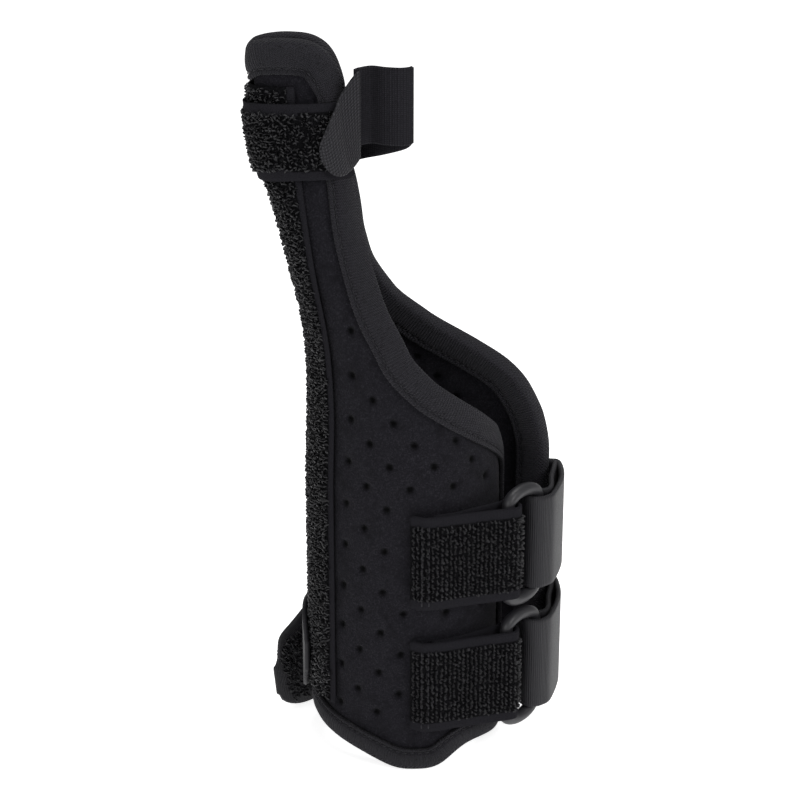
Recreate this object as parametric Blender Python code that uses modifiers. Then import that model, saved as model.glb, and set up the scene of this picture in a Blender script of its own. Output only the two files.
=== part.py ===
"""A thumb spica splint, standing on its rim: metres, +Z up, the wearer's forearm enters from below.

The padded panel wraps the wrist as a C that is open on the right (+X) and narrows upwards into a gutter for
the thumb. Every other piece is laid out from the panel's surface, from named sizes and named clearances.
"""

from collections import namedtuple
from math import ceil, copysign, cos, degrees, radians, sin

import bmesh
import bpy
from mathutils import Matrix, Vector

# Panel: height from the rim to the top of the thumb gutter, and its two end sections
HEIGHT = 0.2388
WRIST_LEFT = 0.0325
WRIST_FRONT = 0.0290
WRIST_BACK = 0.0600
WRIST_DEPTH = 0.0280
THUMB_HALF_WIDTH = 0.0144
THUMB_DEPTH = 0.0082
THUMB_SQUARENESS = 0.84
THUMB_LEAN = 0.0360
PANEL_WALL = 0.0035
RIM_RISE = 0.0110
RIM_FADE = 0.0400
TOP_DROP = 0.0150
TOP_DIP = 0.0020
TOP_FADE = 0.0420

# Perforations
HOLE_DIAMETER = 0.0025
HOLE_COLUMN_PITCH = 0.0074
HOLE_ROW_PITCH = 0.0147
FIRST_HOLE_COLUMN = 0.0205
LOWEST_HOLE = 0.0180
HIGHEST_HOLE = 0.1650
HOLE_COLUMN_LEAN = 0.05

# Binding tape
TAPE = 0.0010
TAPE_LEG = 0.0086
RIM_LEG = 0.0060
LEG_GROWS = 0.0400

# Stay strip
STRIP_WIDTH = 0.0310
STRIP_THICK = 0.0020

# Thumb strap and its tab
THUMB_STRAP_WIDTH = 0.0235
THUMB_STRAP_BELOW_TOP = 0.0303
THUMB_STRAP_HEIGHT = HEIGHT - THUMB_STRAP_BELOW_TOP
THUMB_STRAP_THICK = 0.0016
THUMB_LOOP_REACH = 0.0215
THUMB_LOOP_RISE = 0.0105
TAB_WIDTH = 0.0310
TAB_THICK = 0.0010
TAB_START = 136.0
TAB_END = 106.0
TAB_TAPER = 0.35
TAB_SAG = 0.0030
BAND_FRONT_END = 147.0
BAND_LEAVES = -128.0

# Wrist straps, their pads and their rings
STRAP_WIDTH = 0.0320
STRAP_THICK = 0.0016
LOWER_STRAP_HEIGHT = 0.0300
STRAP_BULGE = 0.0020
STRAP_END_WIDTH = 0.0100
STRAP_SEAM = -98.0
LOWER_END = 14.0
UPPER_LEAVES = -52.0
UPPER_END_OUT = 0.0280
UPPER_END_DROP = 0.0650
DROP_START = 0.0360
PAD_THICK = 0.0020
PAD_START = 89.0
PAD_LANDS = 103.0
PAD_LEAVES = 116.0
RING_LENGTH = 0.0430
RING_GAP = 0.0015
UPPER_STRAP_HEIGHT = LOWER_STRAP_HEIGHT + RING_LENGTH + RING_GAP
RING_WIDTH = 0.0185
RING_WIRE = 0.0043
RING_OUT = 0.0045
RING_TURN = 46.0
RING_END = 0.0038

# Clearances
SEAT = 0.0005
STRIP_SEAT = 0.0009
BAND_SEAT = 0.0007
TAPE_SEAT = 0.0008
TAPE_EDGE_SEAT = 0.0012
EDGE_PASS = 0.0007
RING_SEAT = 0.0010
TAB_SEAT = 0.0006

Section = namedtuple("Section", "height lean left front back deep")
# Shares of the height, of the lean, and of the way from the wrist's size to the thumb's
SECTIONS = [
    Section(0.000, 0.00, 0.00, 0.00, 0.00, 0.00),
    Section(0.395, 0.00, 0.00, 0.00, 0.00, 0.00),
    Section(0.494, 0.11, 0.26, -0.02, 0.04, 0.08),
    Section(0.597, 0.33, 0.67, 0.34, 0.33, 0.25),
    Section(0.679, 0.58, 0.97, 0.75, 0.70, 0.45),
    Section(0.782, 0.83, 1.13, 1.02, 0.94, 0.70),
    Section(0.864, 0.95, 1.07, 1.03, 1.01, 0.89),
    Section(1.000, 1.00, 1.00, 1.00, 1.00, 1.00),
]

Reach = namedtuple("Reach", "height front back")
# How far round from the thumb side each edge of the panel lies, in degrees, by share of the height
REACHES = [
    Reach(0.000, 182.0, 134.0),
    Reach(0.060, 186.0, 137.0),
    Reach(0.120, 194.0, 139.0),
    Reach(0.400, 195.0, 139.0),
    Reach(0.430, 191.0, 139.0),
    Reach(0.453, 180.0, 139.0),
    Reach(0.477, 164.0, 138.0),
    Reach(0.502, 147.0, 136.0),
    Reach(0.527, 132.0, 132.5),
    Reach(0.556, 119.0, 124.0),
    Reach(0.597, 111.0, 110.0),
    Reach(0.638, 112.0, 103.0),
    Reach(0.679, 117.0, 103.0),
    Reach(0.724, 125.0, 109.0),
    Reach(0.782, 138.0, 127.0),
    Reach(0.823, 146.0, 138.0),
    Reach(0.885, 150.0, 146.0),
    Reach(1.000, 148.0, 148.0),
]

Rim = namedtuple("Rim", "across rise")
# Share of the reach, negative at the back, and share of the rim's rise: two lobes lie flat on the floor
RIM = [
    Rim(-1.00, 1.00),
    Rim(-0.93, 0.35),
    Rim(-0.86, 0.00),
    Rim(-0.50, 0.00),
    Rim(-0.38, 0.35),
    Rim(-0.20, 0.95),
    Rim(0.00, 1.00),
    Rim(0.08, 1.00),
    Rim(0.15, 0.84),
    Rim(0.20, 0.74),
    Rim(0.28, 0.56),
    Rim(0.34, 0.40),
    Rim(0.40, 0.19),
    Rim(0.46, 0.00),
    Rim(0.56, 0.00),
    Rim(0.60, 0.12),
    Rim(0.63, 0.32),
    Rim(0.67, 0.54),
    Rim(0.72, 0.62),
    Rim(0.79, 0.57),
    Rim(0.87, 0.47),
    Rim(1.00, 0.40),
]

Band = namedtuple("Band", "top rows")
# The panel's mesh rows: closest together where its edges turn most
BANDS = [Band(0.10, 4), Band(0.42, 4), Band(0.56, 9), Band(0.66, 3), Band(0.88, 5), Band(1.00, 4)]
FRONT_COLUMNS = 13
BACK_COLUMNS = 10

parts = bpy.data.collections.new("thumb_spica_splint")
cutters = bpy.data.collections.new("cutters")


def clear_scene():
    for old in list(bpy.data.objects):
        bpy.data.objects.remove(old)
    bpy.context.scene.collection.children.link(parts)
    bpy.context.scene.collection.children.link(cutters)


def material(name, colour, roughness, metallic=0.0):
    made = bpy.data.materials.new(name)
    made.use_nodes = True
    shader = made.node_tree.nodes["Principled BSDF"]
    shader.inputs["Base Color"].default_value = (*colour, 1.0)
    shader.inputs["Roughness"].default_value = roughness
    shader.inputs["Metallic"].default_value = metallic
    made.diffuse_color = (*colour, 1.0)
    return made


def curve_through(points):
    """A smooth function through (x, y) points that never overshoots between two of them."""
    xs = [x for x, _ in points]
    ys = [y for _, y in points]
    steps = [(ys[i + 1] - ys[i]) / (xs[i + 1] - xs[i]) for i in range(len(xs) - 1)]
    slopes = [0.0] * len(xs)
    for i in range(1, len(xs) - 1):
        if steps[i - 1] * steps[i] > 0:
            slopes[i] = 2 * steps[i - 1] * steps[i] / (steps[i - 1] + steps[i])

    def value(x):
        x = min(max(x, xs[0]), xs[-1])
        i = max(k for k in range(len(xs) - 1) if xs[k] <= x or k == 0)
        wide = xs[i + 1] - xs[i]
        u = (x - xs[i]) / wide
        ease = u * u * (3 - 2 * u)
        start_pull = u * (1 - u) ** 2 * wide * slopes[i]
        end_pull = u * u * (1 - u) * wide * slopes[i + 1]
        return ys[i] + (ys[i + 1] - ys[i]) * ease + start_pull - end_pull

    return value


def column(rows, name):
    return curve_through([(row[0], getattr(row, name)) for row in rows])


lean_at = column(SECTIONS, "lean")
left_at = column(SECTIONS, "left")
front_at = column(SECTIONS, "front")
back_at = column(SECTIONS, "back")
deep_at = column(SECTIONS, "deep")
front_reach_at = column(REACHES, "front")
back_reach_at = column(REACHES, "back")
rim_rise_at = column(RIM, "rise")


def mix(start, end, share):
    return start + (end - start) * share


def skin_point(angle, z):
    """Where the panel's outer face lies: angle in degrees from the thumb side, positive round the front."""
    share = z / HEIGHT
    turn = radians(angle)
    if abs(angle) <= 90:
        wide = mix(WRIST_LEFT, THUMB_HALF_WIDTH, left_at(share))
    elif angle > 0:
        wide = mix(WRIST_FRONT, THUMB_HALF_WIDTH, front_at(share))
    else:
        wide = mix(WRIST_BACK, THUMB_HALF_WIDTH, back_at(share))
    deep = mix(WRIST_DEPTH, THUMB_DEPTH, deep_at(share))
    power = mix(1.0, THUMB_SQUARENESS, deep_at(share))
    along = copysign(abs(cos(turn)) ** power, cos(turn))
    aside = copysign(abs(sin(turn)) ** power, sin(turn))
    return Vector((-THUMB_LEAN * lean_at(share) - wide * along, -deep * aside, z))


def skin_slopes(angle, z):
    """How the outer face moves for each degree and for each metre of height."""
    small_turn, small_rise = 0.25, 0.0004
    round_it = (skin_point(angle + small_turn, z) - skin_point(angle - small_turn, z)) / (2 * small_turn)
    up_it = (skin_point(angle, z + small_rise) - skin_point(angle, z - small_rise)) / (2 * small_rise)
    return round_it, up_it


def skin_normal(angle, z):
    round_it, up_it = skin_slopes(angle, z)
    return round_it.cross(up_it).normalized()


def over_skin(angle, z, out):
    return skin_point(angle, z) + skin_normal(angle, z) * out


def angle_at_distance(distance, z):
    """The angle of the point that lies this far round the skin from the thumb side."""
    angle, gone = 0.0, 0.0
    turn = 1.0 if distance > 0 else -1.0
    here = skin_point(0.0, z)
    while abs(angle) < 200:
        there = skin_point(angle + turn, z)
        step = (there - here).length
        if gone + step >= abs(distance):
            return angle + turn * (abs(distance) - gone) / step
        angle += turn
        gone += step
        here = there
    return angle


def reach_at(across, z):
    share = z / HEIGHT
    return across * (front_reach_at(share) if across > 0 else back_reach_at(share))


def sheet_place(height, across):
    """Angle and height of a point of the panel, from its row's height and its share of the reach."""
    z = height
    if height < RIM_FADE:
        z += RIM_RISE * rim_rise_at(across) * (1 - height / RIM_FADE) ** 2
    if height > HEIGHT - TOP_FADE:
        drop = TOP_DROP * across**6 + TOP_DIP * (1 - across**2) ** 3
        z -= drop * (1 - (HEIGHT - height) / TOP_FADE) ** 2
    return reach_at(across, z), z


def row_heights():
    heights = [0.0]
    for band in BANDS:
        start = heights[-1]
        heights += [mix(start, band.top * HEIGHT, (i + 1) / band.rows) for i in range(band.rows)]
    return heights


def across_shares():
    back = [i / BACK_COLUMNS - 1 for i in range(BACK_COLUMNS)]
    return back + [i / FRONT_COLUMNS for i in range(FRONT_COLUMNS + 1)]


def add_object(name, mesh, finish, collection=parts):
    made = bpy.data.objects.new(name, mesh)
    collection.objects.link(made)
    if finish:
        mesh.materials.append(finish)
    mesh.shade_smooth()
    mesh.set_sharp_from_angle(angle=radians(50))
    return made


def lofted(name, rows, finish, closed=False):
    """A surface through rows of points, each row as long as the next. A closed loft joins up both ways."""
    shape = bmesh.new()
    grid = [[shape.verts.new(point) for point in row] for row in rows]
    if closed:
        grid.append(grid[0])
        grid = [row + [row[0]] for row in grid]
    for low, high in zip(grid, grid[1:]):
        for i in range(len(low) - 1):
            shape.faces.new((low[i], low[i + 1], high[i + 1], high[i]))
    bmesh.ops.recalc_face_normals(shape, faces=shape.faces)
    mesh = bpy.data.meshes.new(name)
    shape.to_mesh(mesh)
    shape.free()
    return add_object(name, mesh, finish)


def thicken(made, thickness, outwards=0.0):
    solid = made.modifiers.new("wall", "SOLIDIFY")
    solid.thickness = thickness
    solid.offset = outwards
    solid.use_even_offset = True
    return solid


def turn_faces(made, middle_out):
    """Turns the faces so that the first face's normal agrees with the given direction."""
    face = made.data.polygons[0]
    if face.normal.dot(middle_out) < 0:
        made.data.flip_normals()


def hole_places():
    """Angle and height of every perforation: two staggered fields, front and back, inside the binding."""
    margin = TAPE_LEG + HOLE_DIAMETER
    places = []
    for side in (1, -1):
        for index in range(12):
            z = LOWEST_HOLE + (index % 2) * HOLE_ROW_PITCH / 2
            while z < HIGHEST_HOLE:
                distance = FIRST_HOLE_COLUMN + index * HOLE_COLUMN_PITCH + (z - LOWEST_HOLE) * HOLE_COLUMN_LEAN
                angle = angle_at_distance(side * distance, z)
                limit = abs(reach_at(side, z))
                gap = (skin_point(side * limit, z) - skin_point(angle, z)).length
                under = hidden_by_straps(angle, z)
                if abs(angle) < limit and gap > margin and not under and clear_of_edge(angle, z, margin):
                    places.append((angle, z))
                z += HOLE_ROW_PITCH
    return places


def hidden_by_straps(angle, z):
    """Whether a ring pad in front, or a wrist strap behind, lies over this place."""
    if angle < 0:
        return z < UPPER_STRAP_HEIGHT + STRAP_WIDTH / 2
    beside = min(abs(z - LOWER_STRAP_HEIGHT), abs(z - UPPER_STRAP_HEIGHT))
    return angle > PAD_START - 4 and beside < STRAP_WIDTH / 2 + HOLE_DIAMETER


def clear_of_edge(angle, z, margin):
    """Whether the panel's side edge is at least this far away, a little above and below too."""
    here = skin_point(angle, z)
    side = 1 if angle > 0 else -1
    for rise in (-1, -0.5, 0.5, 1):
        near = z + rise * margin
        if (skin_point(reach_at(side, near), near) - here).length < margin:
            return False
    return True


def make_hole_cutter():
    shape = bmesh.new()
    for angle, z in hole_places():
        centre = over_skin(angle, z, -PANEL_WALL / 2)
        aim = skin_normal(angle, z).to_track_quat("Z", "Y").to_matrix().to_4x4()
        bmesh.ops.create_cone(
            shape,
            cap_ends=True,
            segments=6,
            radius1=HOLE_DIAMETER / 2,
            radius2=HOLE_DIAMETER / 2,
            depth=2 * PANEL_WALL,
            matrix=Matrix.Translation(centre) @ aim,
        )
    mesh = bpy.data.meshes.new("perforation_cutter")
    shape.to_mesh(mesh)
    shape.free()
    cutter = add_object("perforation_cutter", mesh, None, cutters)
    cutter.hide_render = True
    cutter.display_type = "WIRE"
    return cutter


def make_panel(finish):
    rows = [[skin_point(*sheet_place(height, across)) for across in across_shares()] for height in row_heights()]
    panel = lofted("sleeve_panel", rows, finish)
    angle, z = sheet_place(0.0, -1.0)
    turn_faces(panel, skin_normal(angle, z))
    thicken(panel, PANEL_WALL, outwards=-1.0)
    cut = panel.modifiers.new("perforations", "BOOLEAN")
    cut.operation = "DIFFERENCE"
    cut.solver = "EXACT"
    cut.object = make_hole_cutter()


def edge_stations():
    """Places all round the panel's boundary, each with the length of the binding's leg there."""
    heights = row_heights()
    shares = across_shares()
    legs = [mix(RIM_LEG, TAPE_LEG, min(1.0, height / LEG_GROWS)) for height in heights]
    rim = [(0.0, across, RIM_LEG) for across in shares[:-1]]
    front = [(height, 1.0, leg) for height, leg in zip(heights[:-1], legs)]
    top = [(HEIGHT, across, TAPE_LEG) for across in shares[:0:-1]]
    back = [(height, -1.0, leg) for height, leg in zip(heights[:0:-1], legs[::-1])]
    return rim + front + top + back


def walk_skin(angle, z, heading, distance):
    """Follows the skin from a place in a heading, and gives the place reached."""
    steps = 6
    for _ in range(steps):
        round_it, up_it = skin_slopes(angle, z)
        along = heading * (distance / steps)
        rr, ru, uu = round_it.dot(round_it), round_it.dot(up_it), up_it.dot(up_it)
        ar, au = along.dot(round_it), along.dot(up_it)
        base = rr * uu - ru * ru
        angle += (ar * uu - au * ru) / base
        z += (au * rr - ar * ru) / base
    return angle, z


def make_binding(finish):
    stations = edge_stations()
    places = [sheet_place(height, across) for height, across, _ in stations]
    points = [skin_point(*place) for place in places]
    count = len(points)
    rows = []
    for k, (angle, z) in enumerate(places):
        height, across, leg = stations[k]
        normal = skin_normal(angle, z)
        along = points[(k + 1) % count] - points[k - 1]
        if height == 0 and abs(across) < 1:
            along.z = 0.0  # keeps the tape's fold level, so that both lobes rest flat
        inward = normal.cross(along).normalized()
        leg_places = [walk_skin(angle, z, inward, leg * share) for share in (1, 2 / 3, 1 / 3)]
        gap, skin, beyond = TAPE_SEAT, TAPE_SEAT + TAPE, TAPE_EDGE_SEAT

        def leg_points(out):
            return [over_skin(*place, out) for place in leg_places]

        def edge_point(out, past):
            return points[k] + normal * out - inward * past

        rows.append(
            [
                *leg_points(gap),
                edge_point(gap, beyond),
                edge_point(-PANEL_WALL - gap, beyond),
                *leg_points(-PANEL_WALL - gap)[::-1],
                *leg_points(-PANEL_WALL - skin),
                edge_point(-PANEL_WALL - skin, beyond + TAPE),
                edge_point(skin, beyond + TAPE),
                *leg_points(skin)[::-1],
            ]
        )
    lofted("edge_binding", rows, finish, closed=True)


def make_stay_strip(finish):
    low = RIM_RISE + RIM_LEG + 2 * SEAT
    high = HEIGHT - TOP_DIP - TAPE_LEG - 4 * SEAT
    rows = []
    count = 18
    for i in range(count + 1):
        z = mix(low, high, i / count)
        ends = [angle_at_distance(side * STRIP_WIDTH / 2, z) for side in (-1, 1)]
        rows.append([over_skin(mix(*ends, k / 6), z, STRIP_SEAT) for k in range(7)])
    strip = lofted("stay_strip", rows, finish)
    turn_faces(strip, Vector((-1, 0, 0)))
    thicken(strip, STRIP_THICK, outwards=1.0)


class Plan:
    """A smooth run of plan points that a strap stands on, read by its length."""

    def __init__(self, points):
        self.points = [Vector(point) for point in points]
        self.lengths = [0.0]
        for a, b in zip(self.points, self.points[1:]):
            self.lengths.append(self.lengths[-1] + (b - a).length)

    def at(self, length):
        last = len(self.points) - 2
        i = 0
        while i < last and self.lengths[i + 1] < length:
            i += 1
        share = (length - self.lengths[i]) / (self.lengths[i + 1] - self.lengths[i])
        return self.points[i].lerp(self.points[i + 1], share)

    def stations(self, turn_most, step_most):
        """Lengths at which the run has turned or gone on enough."""
        chosen = [0.0]
        turned = 0.0
        for i in range(1, len(self.points) - 1):
            before = self.points[i] - self.points[i - 1]
            after = self.points[i + 1] - self.points[i]
            turned += abs(degrees(before.angle(after, 0.0)))
            if turned >= turn_most or self.lengths[i + 1] - chosen[-1] > step_most:
                chosen.append(self.lengths[i])
                turned = 0.0
        chosen.append(self.lengths[-1])
        return chosen


def flat(point):
    return Vector((point[0], point[1], 0.0))


def rounded_route(points, per_leg=8):
    """A smooth route through plan points, by Catmull-Rom."""
    first = points[0] * 2 - points[1]
    last = points[-1] * 2 - points[-2]
    line = [first, *points, last]
    route = []
    for a, b, c, d in zip(line, line[1:], line[2:], line[3:]):
        for i in range(per_leg):
            u = i / per_leg
            route.append(
                (b * 2 + (c - a) * u + (a * 2 - b * 5 + c * 4 - d) * u**2 + (b * 3 - a - c * 3 + d) * u**3) / 2
            )
    route.append(points[-1])
    return route


def body_run(start, end, z, out_at, step=4.0):
    """Plan points over the skin from one angle to another, at a distance given by the angle."""
    count = max(2, ceil(abs(end - start) / step))
    angles = [mix(start, end, i / count) for i in range(count + 1)]
    return [flat(over_skin(angle, z, out_at(angle))) for angle in angles]


def ring_bars():
    """Plan places of a ring's left and right bars, clear of the front of the panel."""
    side = skin_point(180.0, LOWER_STRAP_HEIGHT)
    turn = Vector((cos(radians(RING_TURN)), sin(radians(RING_TURN)), 0.0))
    left_bar = Vector((side.x + RING_OUT - RING_WIRE / 2, -0.71 * WRIST_DEPTH, 0.0))
    return left_bar, left_bar + turn * (RING_WIDTH - RING_WIRE)


def bar_fold(bar, out, start, sweep, count=8):
    """Plan points round a ring's bar, from a start direction in degrees and through a sweep."""
    angles = [radians(start + sweep * i / count) for i in range(count + 1)]
    return [bar + Vector((cos(a), sin(a), 0.0)) * out for a in angles]


def past_edge(run):
    """The run carried straight on past the binding that wraps the back edge."""
    away = (run[-1] - run[-2]).normalized()
    return [*run, run[-1] + away * (TAPE_EDGE_SEAT + TAPE + EDGE_PASS)]


def strap_plan(free_angle, free_out, exit_length):
    """The route of a wrist strap: sewn end, round the right bar, back over itself to the free end."""
    back_edge = -back_reach_at(LOWER_STRAP_HEIGHT / HEIGHT)
    tape_top = TAPE_SEAT + TAPE
    sewn = SEAT + STRAP_THICK / 2
    lifted = tape_top + EDGE_PASS + STRAP_THICK / 2
    stacked = lifted + STRAP_THICK + SEAT
    z = LOWER_STRAP_HEIGHT
    seam = STRAP_SEAM
    inner_out = curve_through([(back_edge, lifted), (mix(back_edge, seam, 0.5), lifted), (seam, sewn)])
    inner = past_edge(body_run(seam, back_edge, z, inner_out))
    _, right_bar = ring_bars()
    fold_out = RING_WIRE / 2 + RING_SEAT + STRAP_THICK / 2
    fold = bar_fold(right_bar, fold_out, RING_TURN + 90, 180)
    edge = flat(skin_point(back_edge, z))
    spread = STRAP_THICK + SEAT
    middle_y = mix(edge.y, right_bar.y, 0.5)
    inner_bulge = Vector((edge.x + STRAP_BULGE, middle_y + 0.003, 0.0))
    inner_return = Vector((edge.x + STRAP_BULGE * 0.2, mix(edge.y, right_bar.y, 0.82), 0.0))
    outer_bulge = inner_bulge + Vector((1.7 * spread, 0.0, 0.0))
    outer_return = Vector((edge.x + STRAP_BULGE * 0.9, mix(edge.y, right_bar.y, 0.95), 0.0))
    settles = mix(back_edge, seam, 0.6) if free_out > stacked else seam + 14
    outer_out = curve_through([(back_edge, stacked), (settles, max(stacked, free_out)), (settles + 8, free_out)])
    if free_out < stacked:
        outer_out = curve_through([(back_edge, stacked), (seam, stacked), (settles, free_out)])
    outer = past_edge(body_run(free_angle, back_edge, z, outer_out))[::-1]
    crossing = rounded_route([inner[-2], inner[-1], inner_bulge, inner_return, fold[0], fold[1]])[8:-8]
    returning = rounded_route([fold[-2], fold[-1], outer_return, outer_bulge, outer[0], outer[1]])[8:-8]
    route = inner[:-1] + crossing[:-1] + fold[:-1] + returning[:-1] + outer
    fold_at = len(inner) - 1 + len(crossing) - 1 + len(fold) // 2
    if exit_length:
        away = (route[-1] - route[-2]).normalized()
        route += [route[-1] + away * exit_length * share for share in (0.25, 0.5, 0.75, 1.0)]
    return Plan(route), fold_at


def round_end(width, left):
    """Half the width of a strap this far from its free end, which is rounded."""
    nose = 0.45 * width
    if left >= nose:
        return width / 2
    share = 1 - left / nose
    return width / 2 * (1 - share**2.2) ** 0.5


def make_strap(name, plan, height_at, width, thickness, finish, across=1, end_width=None):
    """A strap over a plan route: height_at gives its middle's height and slope at each length."""
    total = plan.lengths[-1]
    lengths = plan.stations(9.0, 0.012)
    if end_width:
        nose = 0.45 * width
        kept = [length for length in lengths if length < total - nose]
        lengths = kept + [total - nose * share for share in (1.0, 0.75, 0.5, 0.3, 0.15, 0.05, 0.0)]
    rows = []
    for length in lengths:
        z, slope = height_at(length)
        half = width / 2
        if end_width:
            half = max(end_width / 2, round_end(width, total - length))
        tilt = Vector((1.0, slope)).normalized()
        row = []
        for i in range(across + 1):
            aside = mix(-half, half, i / across)
            place = plan.at(length - aside * tilt.y)
            row.append(Vector((place.x, place.y, z + aside * tilt.x)))
        rows.append(row)
    strap = lofted(name, rows, finish)
    thicken(strap, thickness)
    return strap


def make_lower_wrist_strap(finish):
    over_strip = STRIP_SEAT + STRIP_THICK + SEAT + STRAP_THICK / 2
    plan, _ = strap_plan(LOWER_END, over_strip, 0.0)
    make_strap(
        "lower_wrist_strap",
        plan,
        lambda length: (LOWER_STRAP_HEIGHT, 0.0),
        STRAP_WIDTH,
        STRAP_THICK,
        finish,
        end_width=STRAP_END_WIDTH,
    )


def make_upper_wrist_strap(finish):
    over_lower = TAPE_SEAT + TAPE + EDGE_PASS + 2 * (STRAP_THICK + SEAT) + STRAP_THICK / 2
    plan, fold_at = strap_plan(UPPER_LEAVES, over_lower, UPPER_END_OUT)
    start = plan.lengths[fold_at] + DROP_START
    total = plan.lengths[-1]
    middle, late = mix(start, total, 0.3), mix(start, total, 0.65)
    drop_at = curve_through([(start, 0.0), (middle, 0.16), (late, 0.56), (total, 1.0)])

    def height_at(length):
        small = 0.001
        drop = UPPER_END_DROP * drop_at(length)
        if length > total - small:
            slope = (drop_at(total - small) - drop_at(total - 2 * small)) / small
        else:
            slope = (drop_at(length + small) - drop_at(length)) / small
        return UPPER_STRAP_HEIGHT - drop, -UPPER_END_DROP * slope

    make_strap(
        "upper_wrist_strap",
        plan,
        height_at,
        STRAP_WIDTH,
        STRAP_THICK,
        finish,
        across=3,
        end_width=STRAP_END_WIDTH,
    )


def pad_plan():
    """The route of a ring pad: over the front, round the left bar and back beneath itself."""
    z = LOWER_STRAP_HEIGHT
    left_bar, _ = ring_bars()
    sewn = SEAT + PAD_THICK / 2
    stacked = sewn + PAD_THICK + SEAT
    rises = curve_through([(PAD_START, sewn), (PAD_LANDS - 6, stacked), (PAD_LEAVES, stacked)])
    outer = body_run(PAD_START, PAD_LEAVES, z, rises)
    fold_out = RING_WIRE / 2 + RING_SEAT + PAD_THICK / 2
    fold = bar_fold(left_bar, fold_out, RING_TURN - 90, 180)
    inner = body_run(PAD_LEAVES, PAD_LANDS, z, lambda angle: sewn)
    crossing = rounded_route([outer[-2], outer[-1], fold[0], fold[1]], 5)[5:-5]
    returning = rounded_route([fold[-2], fold[-1], inner[0], inner[1]], 5)[5:-5]
    return Plan(outer[:-1] + crossing[:-1] + fold[:-1] + returning[:-1] + inner)


def make_ring_pad(name, height, finish):
    make_strap(name, pad_plan(), lambda length: (height, 0.0), STRAP_WIDTH, PAD_THICK, finish)


def make_ring(name, height, finish):
    """An oval ring of round wire, standing between its pad and its strap."""
    left_bar, right_bar = ring_bars()
    middle = (left_bar + right_bar) / 2
    turn = (right_bar - left_bar).normalized()
    half_wide = (RING_WIDTH - RING_WIRE) / 2
    half_long = (RING_LENGTH - RING_WIRE) / 2
    straight = half_long - RING_END
    steps = 6
    outline = []
    for side, start in ((1, 0), (-1, 180)):
        for i in range(2 * steps + 1):
            angle = radians(start + 90 * i / steps)
            outline.append((half_wide * cos(angle), side * straight + RING_END * sin(angle)))
    curve = bpy.data.curves.new(name, "CURVE")
    curve.dimensions = "3D"
    curve.bevel_depth = RING_WIRE / 2
    curve.bevel_resolution = 2
    spline = curve.splines.new("POLY")
    spline.points.add(len(outline) - 1)
    spline.use_cyclic_u = True
    for point, (wide, tall) in zip(spline.points, outline):
        place = middle + turn * wide
        point.co = (place.x, place.y, height + tall, 1.0)
    curve.materials.append(finish)
    ring = bpy.data.objects.new(name, curve)
    parts.objects.link(ring)


def thumb_band_out(angle):
    """Distance of the thumb strap's middle over the skin: clear of the stay strip and of the binding."""
    strip_top = STRIP_SEAT + STRIP_THICK
    tape_top = TAPE_SEAT + TAPE
    top = mix(strip_top, tape_top, min(1.0, max(0.0, (abs(angle) - 88.0) / 25.0)))
    return top + BAND_SEAT + THUMB_STRAP_THICK / 2


def band_row(angle, rise=0.0, width=THUMB_STRAP_WIDTH, extra=0.0):
    """One ruling of the thumb strap over the skin, curved as the skin is."""
    middle = THUMB_STRAP_HEIGHT + rise
    out = thumb_band_out(angle) + extra
    return [over_skin(angle, middle + width * share, out) for share in (-0.5, 0.0, 0.5)]


LoopFold = namedtuple("LoopFold", "right forward")
# The loop's route past the collar, as shares of its reach to the right and of the collar's half depth forward
LOOP = [
    LoopFold(0.26, -0.70),
    LoopFold(0.62, -0.10),
    LoopFold(0.93, 0.34),
    LoopFold(1.00, 0.62),
    LoopFold(0.86, 0.86),
    LoopFold(0.64, 0.74),
    LoopFold(0.42, 0.48),
    LoopFold(0.20, 0.92),
]


def loop_points():
    edge = flat(skin_point(front_reach_at(THUMB_STRAP_HEIGHT / HEIGHT), THUMB_STRAP_HEIGHT))
    deep = mix(WRIST_DEPTH, THUMB_DEPTH, deep_at(THUMB_STRAP_HEIGHT / HEIGHT))
    return [Vector((edge.x + fold.right * THUMB_LOOP_REACH, -fold.forward * deep, 0.0)) for fold in LOOP]


def make_thumb_strap(finish):
    rows = []
    steps = 34
    for i in range(steps + 1):
        rows.append(band_row(mix(BAND_FRONT_END, BAND_LEAVES, i / steps)))
    bottom_end = [row[0] for row in rows[-2:]]
    middle_end = [row[1] for row in rows[-2:]]
    top_end = [row[2] for row in rows[-2:]]
    points = loop_points()
    lines = []
    for ends, share in ((bottom_end, -0.5), (middle_end, 0.0), (top_end, 0.5)):
        route = [flat(ends[0]), flat(ends[1]), *points]
        lines.append(rounded_route(route, 3)[3:])
    total = len(lines[0])
    for i in range(1, total):
        climb = THUMB_LOOP_RISE * min(1.0, 2.2 * i / total)
        middle = THUMB_STRAP_HEIGHT + climb
        rows.append(
            [
                Vector((line[i].x, line[i].y, middle + THUMB_STRAP_WIDTH * share))
                for line, share in zip(lines, (-0.5, 0.0, 0.5))
            ]
        )
    strap = lofted("thumb_strap", rows, finish)
    thicken(strap, THUMB_STRAP_THICK)


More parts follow.
